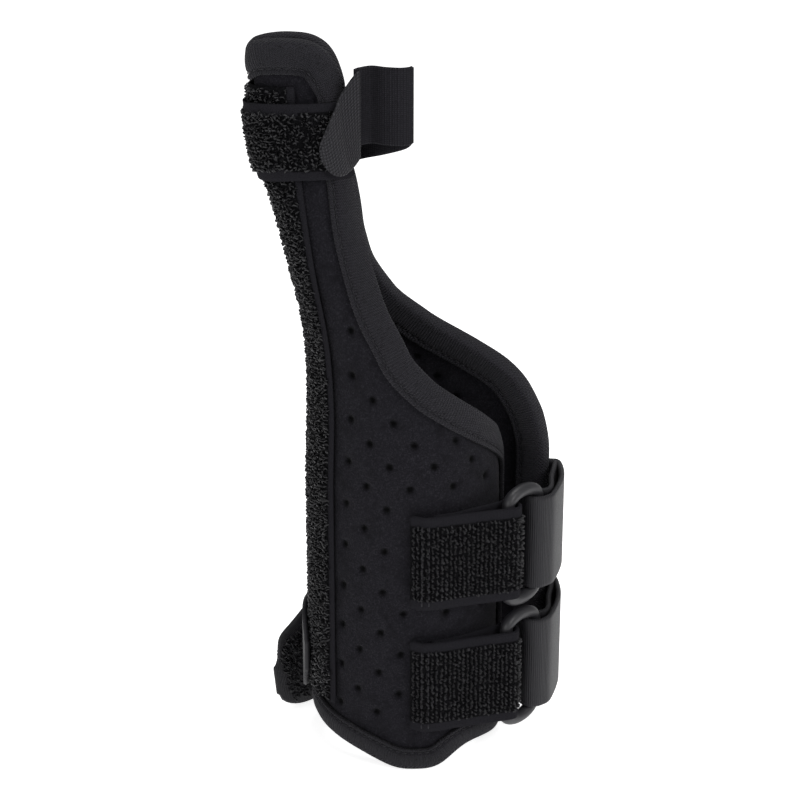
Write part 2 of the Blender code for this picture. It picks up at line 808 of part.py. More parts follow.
def make_thumb_tab(finish):
    """The tongue: over the loop's end on the right, then round onto the band in front."""
    lift = THUMB_STRAP_THICK / 2 + TAB_SEAT + TAB_THICK / 2
    loop = loop_points()
    ahead = (loop[-1] - loop[-2]).normalized()
    aside = Vector((-ahead.y, ahead.x, 0.0)) * lift
    middle = THUMB_STRAP_HEIGHT + THUMB_LOOP_RISE
    over = loop[-1] + aside
    keys = [[Vector((over.x, over.y, middle + TAB_WIDTH * share)) for share in (-0.5, 0.0, 0.5)]]
    landings = 4
    for i in range(landings + 1):
        angle = mix(TAB_START, TAB_END, i / landings)
        rise = THUMB_LOOP_RISE * (1 - (i + 1) / (landings + 1)) - TAB_SAG
        keys.append(band_row(angle, rise, TAB_WIDTH, lift))
    lines = [rounded_route([key[k] for key in keys], 3) for k in range(3)]
    length = Plan(lines[1]).lengths
    rows = []
    for low, centre, high, gone in zip(*lines, length):
        left = (length[-1] - gone) / (0.55 * TAB_WIDTH)
        narrow = 1.0 if left >= 1 else max(0.25, (1 - (1 - left) ** 2.2) ** 0.5)
        slant = mix(TAB_TAPER, 1.0, min(1.0, left))
        rows.append([centre.lerp(low, narrow), centre, centre.lerp(high, narrow * slant)])
    tab = lofted("thumb_tab", rows, finish)
    thicken(tab, TAB_THICK)


def stand_on_origin():
    """Moves the whole object so that the middle of its box's floor is the origin."""
    bpy.context.view_layer.update()
    graph = bpy.context.evaluated_depsgraph_get()
    corners = []
    for made in parts.objects:
        evaluated = made.evaluated_get(graph)
        mesh = evaluated.to_mesh()
        corners += [made.matrix_world @ vertex.co for vertex in mesh.vertices]
        evaluated.to_mesh_clear()
    low = [min(corner[axis] for corner in corners) for axis in range(3)]
    high = [max(corner[axis] for corner in corners) for axis in range(3)]
    stand = bpy.data.objects.new("stand", None)
    stand.location = (-(low[0] + high[0]) / 2, -(low[1] + high[1]) / 2, -low[2])
    for made in list(parts.objects):
        made.parent = stand
    parts.objects.link(stand)
    for made in cutters.objects:
        made.parent = stand


def main():
    clear_scene()
    velour = material("velour", (0.022, 0.021, 0.026), 0.95)
    ribbed_tape = material("ribbed_tape", (0.026, 0.025, 0.031), 0.80)
    loop_pile = material("loop_pile", (0.014, 0.014, 0.017), 0.90)
    satin = material("satin_webbing", (0.035, 0.034, 0.042), 0.55)
    plastic = material("plastic", (0.060, 0.060, 0.068), 0.35)
    make_panel(velour)
    make_binding(ribbed_tape)
    make_stay_strip(loop_pile)
    make_thumb_strap(loop_pile)
    make_thumb_tab(satin)
    for name, height in (("lower", LOWER_STRAP_HEIGHT), ("upper", UPPER_STRAP_HEIGHT)):
        make_ring(name + "_ring", height, plastic)
        make_ring_pad(name + "_ring_pad", height, loop_pile)
    make_lower_wrist_strap(satin)
    make_upper_wrist_strap(satin)
    stand_on_origin()


main()
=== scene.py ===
"""Looks of a thumb spica splint, in metres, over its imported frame.

Cloth pieces are grids of points laid over the same skin as the CAD pieces, thickened into slabs with rounded
rims. Loop pile and stitches are small real tubes. Colours, weaves and ribs are procedural.
"""

from collections import namedtuple
from math import ceil, cos, pi, radians, sin

import bpy
import numpy as np
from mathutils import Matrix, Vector
from numpy.linalg import norm


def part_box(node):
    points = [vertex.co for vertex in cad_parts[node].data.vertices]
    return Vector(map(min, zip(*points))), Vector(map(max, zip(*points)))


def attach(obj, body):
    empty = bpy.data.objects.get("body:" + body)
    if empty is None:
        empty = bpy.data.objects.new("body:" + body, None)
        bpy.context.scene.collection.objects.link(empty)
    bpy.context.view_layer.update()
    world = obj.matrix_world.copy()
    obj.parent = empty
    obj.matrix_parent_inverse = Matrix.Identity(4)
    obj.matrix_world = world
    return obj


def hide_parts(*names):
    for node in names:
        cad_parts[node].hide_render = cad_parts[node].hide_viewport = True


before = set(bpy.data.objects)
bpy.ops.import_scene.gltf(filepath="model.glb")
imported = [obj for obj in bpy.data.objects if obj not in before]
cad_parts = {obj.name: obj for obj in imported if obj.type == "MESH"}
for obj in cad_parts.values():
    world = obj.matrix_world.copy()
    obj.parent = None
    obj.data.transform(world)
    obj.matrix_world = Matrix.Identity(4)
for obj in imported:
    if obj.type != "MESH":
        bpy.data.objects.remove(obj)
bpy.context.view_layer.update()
scene = bpy.context.scene

# Panel. Lengths are in metres, angles in degrees
HEIGHT = 0.2388
WRIST_LEFT = 0.0325
WRIST_FRONT = 0.0290
WRIST_BACK = 0.0600
WRIST_DEPTH = 0.0280
THUMB_HALF_WIDTH = 0.0144
THUMB_DEPTH = 0.0082
THUMB_SQUARENESS = 0.84
THUMB_LEAN = 0.0360
PANEL_WALL = 0.0035
RIM_RISE = 0.0110
RIM_FADE = 0.0400
RIM_ROUND = 0.028
TOP_DROP = 0.0150
TOP_DIP = 0.0020
TOP_FADE = 0.0420
CORNER_DIP = 0.0020
CORNER_REACH = 0.14

# Perforations
HOLE_COLUMNS = 12
HOLE_COLUMN_PITCH = 0.0074
HOLE_ROW_PITCH = 0.0147
FIRST_HOLE_COLUMN = 0.0205
LOWEST_HOLE = 0.0180
HIGHEST_HOLE = 0.1650
HOLE_COLUMN_LEAN = 0.05
HOLE_RADIUS = 0.00125
HOLE_MARGIN = 0.0111

# Binding tape
TAPE = 0.0010
TAPE_LEG = 0.0086
RIM_LEG = 0.0060
LEG_GROWS = 0.0400

# Stay strip: it flares most below the height where its flare fades
STRIP_WIDTH = 0.0310
STRIP_THICK = 0.0020
STRIP_FLARE = 0.0044
STRIP_FLARE_TOP = 0.0020
FLARE_FADES_FROM = 0.12
FLARE_FADES_OVER = 0.07
STRIP_FOOT_GAP = 0.0010
STRIP_TOP_GAP = 0.0030

# Thumb strap and its tab
THUMB_STRAP_WIDTH = 0.0235
THUMB_STRAP_BELOW_TOP = 0.0303
THUMB_STRAP_HEIGHT = HEIGHT - THUMB_STRAP_BELOW_TOP
THUMB_STRAP_THICK = 0.0016
THUMB_LOOP_REACH = 0.0215
THUMB_LOOP_RISE = 0.0105
THUMB_LOOP_CLIMB = 2.2
TAB_WIDTH = 0.0310
TAB_THICK = 0.0010
TAB_START = 136.0
TAB_END = 106.0
TAB_TAPER = 0.35
TAB_CORNER = 0.74
TAB_NOSE = 0.55
TAB_SAG = 0.0030
BAND_FRONT_END = 147.0
BAND_LEAVES = -128.0

# Wrist straps, their pads and their rings. A return is a share of the bulge and of the way to the ring
STRAP_WIDTH = 0.0320
STRAP_THICK = 0.0016
LOWER_STRAP_HEIGHT = 0.0300
STRAP_BULGE = 0.0020
BULGE_FORWARD = 0.0030
BULGE_SPREAD = 1.7
INNER_RETURN = (0.2, 0.82)
OUTER_RETURN = (0.9, 0.95)
SEWN_SETTLES = 14.0
FREE_SETTLES = 8.0
STRAP_END_WIDTH = 0.0100
STRAP_NOSE = 0.45
NOSE_POWER = 2.2
STRAP_SEAM = -98.0
LOWER_END = 14.0
UPPER_LEAVES = -52.0
UPPER_END_OUT = 0.0280
UPPER_END_DROP = 0.0650
DROP_START = 0.0360
PAD_THICK = 0.0020
PAD_START = 89.0
PAD_LANDS = 103.0
PAD_LEAVES = 116.0
RING_LENGTH = 0.0430
RING_GAP = 0.0015
UPPER_STRAP_HEIGHT = LOWER_STRAP_HEIGHT + RING_LENGTH + RING_GAP
RING_WIDTH = 0.0185
RING_WIRE = 0.0043
RING_OUT = 0.0045
RING_FORWARD = 0.71
RING_TURN = 46.0
RING_END = 0.0038

# Clearances
SEAT = 0.0005
STRIP_SEAT = 0.0009
BAND_SEAT = 0.0007
TAPE_SEAT = 0.0008
TAPE_EDGE_SEAT = 0.0012
EDGE_PASS = 0.0007
RING_SEAT = 0.0010
TAB_SEAT = 0.0006

# Fineness, as rows and columns or as a step
PANEL_GRID, QUICK_PANEL_GRID = (220, 210), (130, 120)
STRIP_ROWS, QUICK_STRIP_ROWS = 230, 120
STRAP_STEP = 0.0009
STRAP_COLUMNS = 29
FOLD_STEPS = 14
BODY_STEP = 4.0
BOUNDARY_STEP = 0.0011
BOUNDARY_POINTS = 400

# How far a slab's rim bulges, as a share of its thickness
SLAB_ROUND = 0.32

# Body cloth: its dimples, one narrow and one wide as shares of a hole, which also mark where painted shade
# darkens it, and its unevenness
DIMPLE_DEPTH = 0.0016
DIMPLE_REACHES = (1.2, 2.6)
WIDE_DIMPLE = 0.22
BODY_PUFF = 0.00022

# Binding tape: its seam, as a share of its leg, and the relief beside it
TAPE_STEPS = 18
TAPE_SEAM = 0.78
TAPE_GROOVE = 0.00065
GROOVE_REACH = 0.06
TAPE_PUFF = 0.00035
TAPE_HEM = 0.0003

# Loop pile, and the knots of the ring pads
PILE_PITCH = 0.00135
PILE_HEIGHT = 0.00120
PILE_WIRE = 0.00030
PILE_TALL = (0.55, 1.15)
PILE_WIDE = (0.7, 1.3)
PILE_FAT = (0.8, 1.25)
PILE_LEAN = 0.35
PILE_TWIST = 0.25
PILE_JITTER = 0.4
KNOT_PITCH = 0.00150
KNOT_STEP = 0.00125
KNOT_HEIGHT = 0.00080
KNOT_WIRE = 0.00033
KNOT_TURN = 0.35
PILE_DEPTH = 0.0010
KNOT_DEPTH = 0.0007
SELVAGE = 0.0030
SHEEN_ROUGHNESS = 0.45

# Stitches
STITCH_PITCH = 0.0024
STITCH_LENGTH = 0.0016
STITCH_RADIUS = 0.00019
STITCH_SWELL = (0.4, 1.0, 1.1, 1.0, 0.4)
STITCH_OFFSET = 0.0002
PAD_SEAMS = (0.0050, 0.0066)

# Stage, lamps and camera
FLOOR_HALF = 6.0
WHITE = (1, 1, 1, 1)
PAPER_TONE = 0.93
PAPER_GLOW = 0.75
WORLD_LIGHT = 0.40
Lamp = namedtuple("Lamp", "name place size power")
LAMPS = [
    Lamp("key_right", (0.8, -0.75, 0.8), 0.6, 6),
    Lamp("fill_front", (-0.6, -1.4, 0.7), 0.8, 6),
    Lamp("top", (0.1, 0.1, 1.3), 0.6, 6),
]
LAMPS_AIM = (0.0, 0.0, 0.12)
CAMERA_ELEVATION = 19.5
CAMERA_DISTANCE = 0.66
CAMERA_LEFT = 0.004
CAMERA_HEIGHT = 0.122
CAMERA_LENS = 90
CAMERA_SENSOR = 36

# The upper strap's free end: shares of the way from where it starts to sink, and of its drop
DROP = [(0.0, 0.0), (0.3, 0.16), (0.65, 0.56), (1.0, 1.0)]

# Shares of the height, of the lean, and of the way from the wrist's size to the thumb's
Section = namedtuple("Section", "height lean left front back deep")
SECTIONS = [
    Section(0.000, 0.00, 0.00, 0.00, 0.00, 0.00),
    Section(0.395, 0.00, 0.00, 0.00, 0.00, 0.00),
    Section(0.494, 0.11, 0.26, -0.02, 0.04, 0.08),
    Section(0.597, 0.33, 0.67, 0.34, 0.33, 0.25),
    Section(0.679, 0.58, 0.97, 0.75, 0.70, 0.45),
    Section(0.782, 0.83, 1.13, 1.02, 0.94, 0.70),
    Section(0.864, 0.95, 1.07, 1.03, 1.01, 0.89),
    Section(1.000, 1.00, 1.00, 1.00, 1.00, 1.00),
]

# How far round from the thumb side each edge of the panel lies, in degrees, by share of the height
Reach = namedtuple("Reach", "height front back")
REACHES = [
    Reach(0.000, 182, 134), Reach(0.060, 186, 137), Reach(0.120, 194, 139),
    Reach(0.400, 195, 139), Reach(0.430, 191, 139), Reach(0.453, 180, 139),
    Reach(0.477, 164, 138), Reach(0.502, 147, 136), Reach(0.527, 132, 132.5),
    Reach(0.556, 119, 124), Reach(0.597, 111, 110), Reach(0.638, 112, 103),
    Reach(0.679, 117, 103), Reach(0.724, 125, 109), Reach(0.782, 138, 127),
    Reach(0.823, 146, 138), Reach(0.885, 150, 146), Reach(1.000, 148, 148),
]

# Share of the reach, negative at the back, and share of the rim's rise: two lobes lie flat on the floor
Rim = namedtuple("Rim", "across rise")
RIM = [
    Rim(-1.00, 1.00), Rim(-0.93, 0.35), Rim(-0.86, 0.00), Rim(-0.50, 0.00),
    Rim(-0.38, 0.35), Rim(-0.20, 0.95), Rim(0.00, 1.00), Rim(0.08, 1.00),
    Rim(0.15, 0.84), Rim(0.20, 0.74), Rim(0.28, 0.56), Rim(0.34, 0.40),
    Rim(0.40, 0.19), Rim(0.46, 0.00), Rim(0.56, 0.00), Rim(0.60, 0.12),
    Rim(0.63, 0.32), Rim(0.67, 0.54), Rim(0.72, 0.62), Rim(0.79, 0.57),
    Rim(0.87, 0.47), Rim(1.00, 0.40),
]

# The loop's route past the collar, as shares of its reach to the right and of the collar's half depth forward
LoopFold = namedtuple("LoopFold", "right forward")
LOOP = [
    LoopFold(0.26, -0.70),
    LoopFold(0.62, -0.10),
    LoopFold(0.93, 0.34),
    LoopFold(1.00, 0.62),
    LoopFold(0.86, 0.86),
    LoopFold(0.64, 0.74),
    LoopFold(0.42, 0.48),
    LoopFold(0.20, 0.92),
]


def curve_through(points):
    """A smooth function of arrays through (x, y) points that never overshoots between two of them."""
    xs = np.array([x for x, _ in points], float)
    ys = np.array([y for _, y in points], float)
    steps = np.diff(ys) / np.diff(xs)
    slopes = np.zeros(len(xs))
    for i in range(1, len(xs) - 1):
        if steps[i - 1] * steps[i] > 0:
            slopes[i] = 2 * steps[i - 1] * steps[i] / (steps[i - 1] + steps[i])

    def value(x):
        x = np.clip(x, xs[0], xs[-1])
        i = np.clip(np.searchsorted(xs, x, side="right") - 1, 0, len(xs) - 2)
        wide = xs[i + 1] - xs[i]
        u = (x - xs[i]) / wide
        ease = u * u * (3 - 2 * u)
        pull = u * (1 - u) ** 2 * wide * slopes[i] - u * u * (1 - u) * wide * slopes[i + 1]
        return ys[i] + (ys[i + 1] - ys[i]) * ease + pull

    return value


def column(rows, name):
    return curve_through([(row[0], getattr(row, name)) for row in rows])


lean_at, left_at, front_at, back_at, deep_at = (column(SECTIONS, name) for name in Section._fields[1:])
front_reach_at, back_reach_at = (column(REACHES, name) for name in Reach._fields[1:])
rim_rise_at = column(RIM, "rise")


def mix(start, end, share):
    return start + (end - start) * share


def unit(vectors):
    return vectors / np.maximum(norm(vectors, axis=-1, keepdims=True), 1e-12)


def skin_point(angle, z):
    """The panel's outer face, for arrays of angles in degrees from the thumb side and heights."""
    angle, z = np.broadcast_arrays(np.asarray(angle, float), np.asarray(z, float))
    share = z / HEIGHT
    turn = np.radians(angle)
    left = mix(WRIST_LEFT, THUMB_HALF_WIDTH, left_at(share))
    front = mix(WRIST_FRONT, THUMB_HALF_WIDTH, front_at(share))
    back = mix(WRIST_BACK, THUMB_HALF_WIDTH, back_at(share))
    wide = np.where(np.abs(angle) <= 90, left, np.where(angle > 0, front, back))
    deep = mix(WRIST_DEPTH, THUMB_DEPTH, deep_at(share))
    power = mix(1.0, THUMB_SQUARENESS, deep_at(share))
    along = np.sign(np.cos(turn)) * np.abs(np.cos(turn)) ** power
    aside = np.sign(np.sin(turn)) * np.abs(np.sin(turn)) ** power
    return np.stack([-THUMB_LEAN * lean_at(share) - wide * along, -deep * aside, z], axis=-1)


def skin_slopes(angle, z):
    small_turn, small_rise = 0.25, 0.0004
    round_it = (skin_point(angle + small_turn, z) - skin_point(angle - small_turn, z)) / (2 * small_turn)
    up_it = (skin_point(angle, z + small_rise) - skin_point(angle, z - small_rise)) / (2 * small_rise)
    return round_it, up_it


def skin_normal(angle, z):
    round_it, up_it = skin_slopes(np.asarray(angle, float), np.asarray(z, float))
    return unit(np.cross(round_it, up_it))


def over_skin(angle, z, out):
    out = np.asarray(out, float)[..., None]
    return skin_point(angle, z) + skin_normal(angle, z) * out


def angle_at_distance(distance, z):
    """The angle of the point that lies this far round the skin from the thumb side."""
    side = 1.0 if distance > 0 else -1.0
    angles = np.arange(0, 200.5, 0.5) * side
    steps = norm(np.diff(skin_point(angles, z), axis=0), axis=1)
    return float(np.interp(abs(distance), np.concatenate([[0], np.cumsum(steps)]), angles))


def reach_at(across, z):
    share = z / HEIGHT
    return across * np.where(across > 0, front_reach_at(share), back_reach_at(share))


def rim_rise(across):
    """The rim's rise, with the table's corners rounded."""
    spread = RIM_ROUND * np.array([-1.0, -0.5, 0.0, 0.5, 1.0])
    return sum(rim_rise_at(across + away) for away in spread) / len(spread)


def sheet_place(height, across):
    """Angle and height of points of the panel, from their rows' heights and their shares of the reach."""
    low = np.clip(1 - height / RIM_FADE, 0, 1)
    high = np.clip(1 - (HEIGHT - height) / TOP_FADE, 0, 1)
    drop = TOP_DROP * across**6 + TOP_DIP * (1 - across**2) ** 3
    drop = drop + CORNER_DIP * np.exp(-((across / CORNER_REACH) ** 2))
    z = height + RIM_RISE * rim_rise(across) * low**2 - drop * high**2
    return reach_at(across, z), z


def flat(points):
    points = np.array(points, float)
    points[..., 2] = 0
    return points


def rounded_route(points, per_leg=8):
    """A smooth route through points, by Catmull-Rom."""
    points = [np.asarray(point, float) for point in points]
    line = [points[0] * 2 - points[1], *points, points[-1] * 2 - points[-2]]
    route = []
    for a, b, c, d in zip(line, line[1:], line[2:], line[3:]):
        for i in range(per_leg):
            u = i / per_leg
            square, cube = a * 2 - b * 5 + c * 4 - d, b * 3 - a - c * 3 + d
            route.append((b * 2 + (c - a) * u + square * u**2 + cube * u**3) / 2)
    route.append(points[-1])
    return route


def body_run(start, end, z, out_at):
    count = max(2, ceil(abs(end - start) / BODY_STEP))
    angles = np.linspace(start, end, count + 1)
    return list(flat(over_skin(angles, z, out_at(angles))))


def ring_bars():
    side = skin_point(180.0, LOWER_STRAP_HEIGHT)
    turn = np.array([cos(radians(RING_TURN)), sin(radians(RING_TURN)), 0.0])
    left_bar = np.array([side[0] + RING_OUT - RING_WIRE / 2, -RING_FORWARD * WRIST_DEPTH, 0.0])
    return left_bar, left_bar + turn * (RING_WIDTH - RING_WIRE)


def part_origin():
    """Where the skin's own origin lies in the row's frame, told by the upper ring's box."""
    low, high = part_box("upper_ring")
    left_bar, right_bar = ring_bars()
    middle = (left_bar + right_bar) / 2
    centre = (np.array(low) + np.array(high)) / 2
    return centre - np.array([middle[0], middle[1], UPPER_STRAP_HEIGHT])


def half_fold(bar, out, start):
    """Half a turn round a bar, from an angle in degrees."""
    angles = np.radians(start + 180 * np.linspace(0, 1, FOLD_STEPS + 1))
    return [bar + np.array([cos(a), sin(a), 0.0]) * out for a in angles]


def past_edge(run):
    away = unit(run[-1] - run[-2])
    return [*run, run[-1] + away * (TAPE_EDGE_SEAT + TAPE + EDGE_PASS)]


def strap_route(free_angle, free_out, exit_length):
    """A wrist strap's route, from its sewn end round the right bar and back to its free end, and its fold."""
    back_edge = -float(back_reach_at(LOWER_STRAP_HEIGHT / HEIGHT))
    tape_top = TAPE_SEAT + TAPE
    sewn = SEAT + STRAP_THICK / 2
    lifted = tape_top + EDGE_PASS + STRAP_THICK / 2
    stacked = lifted + STRAP_THICK + SEAT
    z = LOWER_STRAP_HEIGHT
    seam = STRAP_SEAM
    inner_out = curve_through([(back_edge, lifted), (mix(back_edge, seam, 0.5), lifted), (seam, sewn)])
    inner = past_edge(body_run(seam, back_edge, z, inner_out))
    _, right_bar = ring_bars()
    fold_out = RING_WIRE / 2 + RING_SEAT + STRAP_THICK / 2
    fold = half_fold(right_bar, fold_out, RING_TURN + 90)
    edge = flat(skin_point(back_edge, z))
    spread = STRAP_THICK + SEAT
    middle_y = mix(edge[1], right_bar[1], 0.5)
    inner_bulge = np.array([edge[0] + STRAP_BULGE, middle_y + BULGE_FORWARD, 0.0])
    outer_bulge = inner_bulge + np.array([BULGE_SPREAD * spread, 0.0, 0.0])
    inner_return, outer_return = (
        np.array([edge[0] + STRAP_BULGE * bulge, mix(edge[1], right_bar[1], way), 0.0])
        for bulge, way in (INNER_RETURN, OUTER_RETURN)
    )
    if free_out < stacked:
        points = [(back_edge, stacked), (seam, stacked), (seam + SEWN_SETTLES, free_out)]
    else:
        settles = mix(back_edge, seam, 0.6)
        points = [(back_edge, stacked), (settles, max(stacked, free_out)), (settles + FREE_SETTLES, free_out)]
    outer_out = curve_through(points)
    outer = past_edge(body_run(free_angle, back_edge, z, outer_out))[::-1]
    crossing = rounded_route([inner[-2], inner[-1], inner_bulge, inner_return, fold[0], fold[1]])[8:-8]
    returning = rounded_route([fold[-2], fold[-1], outer_return, outer_bulge, outer[0], outer[1]])[8:-8]
    route = inner[:-1] + crossing[:-1] + fold[:-1] + returning[:-1] + outer
    fold_at = len(inner) - 1 + len(crossing) - 1 + len(fold) // 2
    if exit_length:
        away = unit(route[-1] - route[-2])
        route += [route[-1] + away * exit_length * share for share in (0.25, 0.5, 0.75, 1.0)]
    return np.array(route), fold_at


def lengths_of(route):
    return np.concatenate([[0], np.cumsum(norm(np.diff(route, axis=0), axis=1))])


def along_route(route, wanted):
    gone = lengths_of(route)
    beyond = np.clip(wanted - gone[-1], 0, None)[..., None] * unit(route[-1] - route[-2])
    before = np.clip(-wanted, 0, None)[..., None] * unit(route[0] - route[1])
    return np.stack([np.interp(wanted, gone, route[:, k]) for k in range(3)], axis=-1) + beyond + before


def round_end(width, left):
    share = np.clip(1 - left / (STRAP_NOSE * width), 0, 1)
    return width / 2 * (1 - share**NOSE_POWER) ** 0.5


def strap_grid(route, height_at, width, end_width=None):
    """Rows of points of a strap that stands on a plan route, and how far along it each row lies."""
    total = lengths_of(route)[-1]
    lengths = np.linspace(0, total, int(total / STRAP_STEP) + 1)
    rows = []
    for length in lengths:
        z, slope = height_at(length)
        half = width / 2
        if end_width:
            half = max(end_width / 2, float(round_end(width, total - length)))
        tilt = unit(np.array([1.0, slope]))
        aside = np.linspace(-half, half, STRAP_COLUMNS)
        places = along_route(route, length - aside * tilt[1])
        places[:, 2] = z + aside * tilt[0]
        rows.append(places)
    return np.array(rows), lengths


ORIGIN = part_origin()


# Mesh helpers
def in_scene(name, data):
    made = bpy.data.objects.new(name, data)
    scene.collection.objects.link(made)
    return made


def new_object(name, points, faces, uvs=None, values=None):
    mesh = bpy.data.meshes.new(name)
    mesh.from_pydata((points + ORIGIN).tolist(), [], faces.tolist())
    if uvs is not None:
        layer = mesh.uv_layers.new(name="UVMap")
        corners = np.empty(len(mesh.loops), int)
        mesh.loops.foreach_get("vertex_index", corners)
        layer.data.foreach_set("uv", uvs[corners].astype(np.float32).ravel())
    for key, value in (values or {}).items():
        mesh.attributes.new(key, "FLOAT", "POINT").data.foreach_set("value", value.astype(np.float32).ravel())
    mesh.update()
    mesh.shade_smooth()
    return in_scene(name, mesh)


def wrapped_faces(rows, columns):
    """Quads of a grid of points that closes on itself both ways."""
    here = np.arange(rows * columns).reshape(rows, columns)
    beside = np.roll(here, -1, axis=1)
    above = [np.roll(beside, -1, axis=0), np.roll(here, -1, axis=0)]
    return np.stack([here, beside, *above], axis=-1).reshape(-1, 4)


def grid_normals(grid):
    """Unit normals of a grid of points."""
    return unit(np.cross(np.gradient(grid, axis=1), np.gradient(grid, axis=0)))


def grid_uvs(grid):
    """Arc lengths down the middle column and across each row, in metres."""
    middle = grid[:, grid.shape[1] // 2]
    u = lengths_of(middle)
    steps = norm(np.diff(grid, axis=1), axis=2)
    v = np.concatenate([np.zeros((len(grid), 1)), np.cumsum(steps, axis=1)], axis=1)
    v -= v[:, -1:] / 2
    return np.stack([np.broadcast_to(u[:, None], v.shape), v], axis=-1)


def slab(name, grid, outwards, inwards, values=None):
    """A closed slab over a grid of points: outwards and inwards are its faces' distances from the grid."""
    normals = grid_normals(grid)
    rows, columns = grid.shape[:2]
    count = rows * columns
    outer = grid + normals * np.broadcast_to(outwards, (rows, columns))[..., None]
    inner = grid - normals * np.broadcast_to(inwards, (rows, columns))[..., None]
    index = np.arange(count).reshape(rows, columns)
    a, b, c, d = index[:-1, :-1], index[:-1, 1:], index[1:, 1:], index[1:, :-1]
    outer_faces = np.stack([a, b, c, d], axis=-1).reshape(-1, 4)
    inner_faces = outer_faces[:, ::-1] + count
    loop = np.concatenate([index[0, :-1], index[:-1, -1], index[-1, :0:-1], index[:0:-1, 0]])
    flat_outer, flat_inner = outer.reshape(-1, 3), inner.reshape(-1, 3)
    middle = (flat_outer[loop] + flat_inner[loop]) / 2
    along = np.roll(middle, -1, axis=0) - np.roll(middle, 1, axis=0)
    away = unit(np.cross(along, normals.reshape(-1, 3)[loop]))
    thick = norm(flat_outer[loop] - flat_inner[loop], axis=1, keepdims=True)
    rim = middle + away * thick * SLAB_ROUND
    rim_index = 2 * count + np.arange(len(loop))
    after = np.roll(np.arange(len(loop)), -1)
    side_one = np.stack([loop, rim_index, rim_index[after], loop[after]], axis=-1)
    side_two = np.stack([rim_index, loop + count, loop[after] + count, rim_index[after]], axis=-1)
    faces = np.concatenate([outer_faces, inner_faces, side_one, side_two])
    points = np.concatenate([flat_outer, flat_inner, rim])
    uv = grid_uvs(grid).reshape(-1, 2)
    uvs = np.concatenate([uv, uv, uv[loop]])
    spread = {}
    for key, value in (values or {}).items():
        value = np.broadcast_to(value, (rows, columns)).reshape(-1)
        spread[key] = np.concatenate([value, value, value[loop]])
    return new_object(name, points, faces, uvs, spread)


def on_grid(grid, normals, row, col):
    """Points, normals and row directions of a grid at fractional rows and columns."""
    i = np.clip(np.floor(row).astype(int), 0, grid.shape[0] - 2)
    j = np.clip(np.floor(col).astype(int), 0, grid.shape[1] - 2)
    u, v = (row - i)[:, None], (col - j)[:, None]

    def read(field):
        low = field[i, j] * (1 - v) + field[i, j + 1] * v
        high = field[i + 1, j] * (1 - v) + field[i + 1, j + 1] * v
        return low * (1 - u) + high * u

    return read(grid), unit(read(normals)), unit(grid[i + 1, j] - grid[i, j])


def tubes(name, paths, radius, sides=3):
    """Small tubes along many paths with the same number of points: paths is (count, points, 3)."""
    count, steps = paths.shape[:2]
    along = unit(np.gradient(paths, axis=1))
    helper = np.where(np.abs(along[..., 2:3]) < 0.9, np.array([0.0, 0, 1]), np.array([1.0, 0, 0]))
    one = unit(np.cross(along, helper))
    two = np.cross(along, one)
    turns = np.arange(sides) * 2 * pi / sides
    radius = np.broadcast_to(radius, (count, steps))[..., None, None]
    ring = one[:, :, None] * np.cos(turns)[:, None] + two[:, :, None] * np.sin(turns)[:, None]
    points = (paths[:, :, None] + ring * radius).reshape(-1, 3)
    base = np.arange(count)[:, None, None] * steps * sides
    i = np.arange(steps - 1)[None, :, None] * sides
    k = np.arange(sides)[None, None, :]
    after = (k + 1) % sides
    first = base + i
    faces = np.stack([first + k, first + after, first + sides + after, first + sides + k], axis=-1)
    return new_object(name, points, faces.reshape(-1, 4))


def pile(name, places, normals, along, seed, height=PILE_HEIGHT, wire=PILE_WIRE, chain=0.0):
    """Curled loops of yarn, standing on a cloth."""
    rng = np.random.RandomState(seed)
    count = len(places)
    turn = rng.uniform(0, 2 * pi, count) if not chain else pi / 2 + rng.normal(0, chain, count)
    side = np.cross(normals, along)
    reach = unit(along * np.cos(turn)[:, None] + side * np.sin(turn)[:, None])
    lean = along * rng.normal(0, PILE_LEAN, count)[:, None] + side * rng.normal(0, PILE_LEAN, count)[:, None]
    tall = height * rng.uniform(*PILE_TALL, count)
    wide = height * rng.uniform(*PILE_WIDE, count)
    bends = np.linspace(-0.15 * pi, 1.15 * pi, 7)[None, :, None]
    swing = np.cos(bends) * (wide / 2)[:, None, None] * reach[:, None]
    rise = np.sin(bends) * tall[:, None, None] * (normals + lean)[:, None]
    twist = np.sin(2 * bends) * (wide * PILE_TWIST)[:, None, None] * np.cross(normals, reach)[:, None]
    paths = places[:, None] + swing + rise + twist
    return tubes(name, paths, wire * rng.uniform(*PILE_FAT, (count, 1)))


def pile_over(name, grid, out, rows, columns, seed, side=1, pitch=PILE_PITCH, **more):
    """Dresses part of a grid in pile: rows and columns are its range, as shares, and side is its face."""
    rng = np.random.RandomState(seed)
    normals = grid_normals(grid) * side
    size = grid_uvs(grid)
    long = size[-1, 0, 0] * (rows[1] - rows[0])
    wide = (size[:, -1, 1] - size[:, 0, 1]).max() * (columns[1] - columns[0])
    chained = bool(more.get("chain"))
    down = max(2, int(long / (KNOT_PITCH if chained else pitch)))
    over = max(2, int(wide / pitch))
    i, j = np.meshgrid(np.arange(down) + 0.5, np.arange(over) + 0.5, indexing="ij")
    i = i + rng.uniform(-PILE_JITTER, PILE_JITTER, i.shape) * (0.3 if chained else 1)
    j = j + rng.uniform(-PILE_JITTER, PILE_JITTER, j.shape)
    row = mix(rows[0], rows[1], i / down).ravel() * (grid.shape[0] - 1)
    col = mix(columns[0], columns[1], j / over).ravel() * (grid.shape[1] - 1)
    points, ups, along = on_grid(grid, normals, row, col)
    dress(pile(name, points + ups * out, ups, along, seed, **more), PILE)


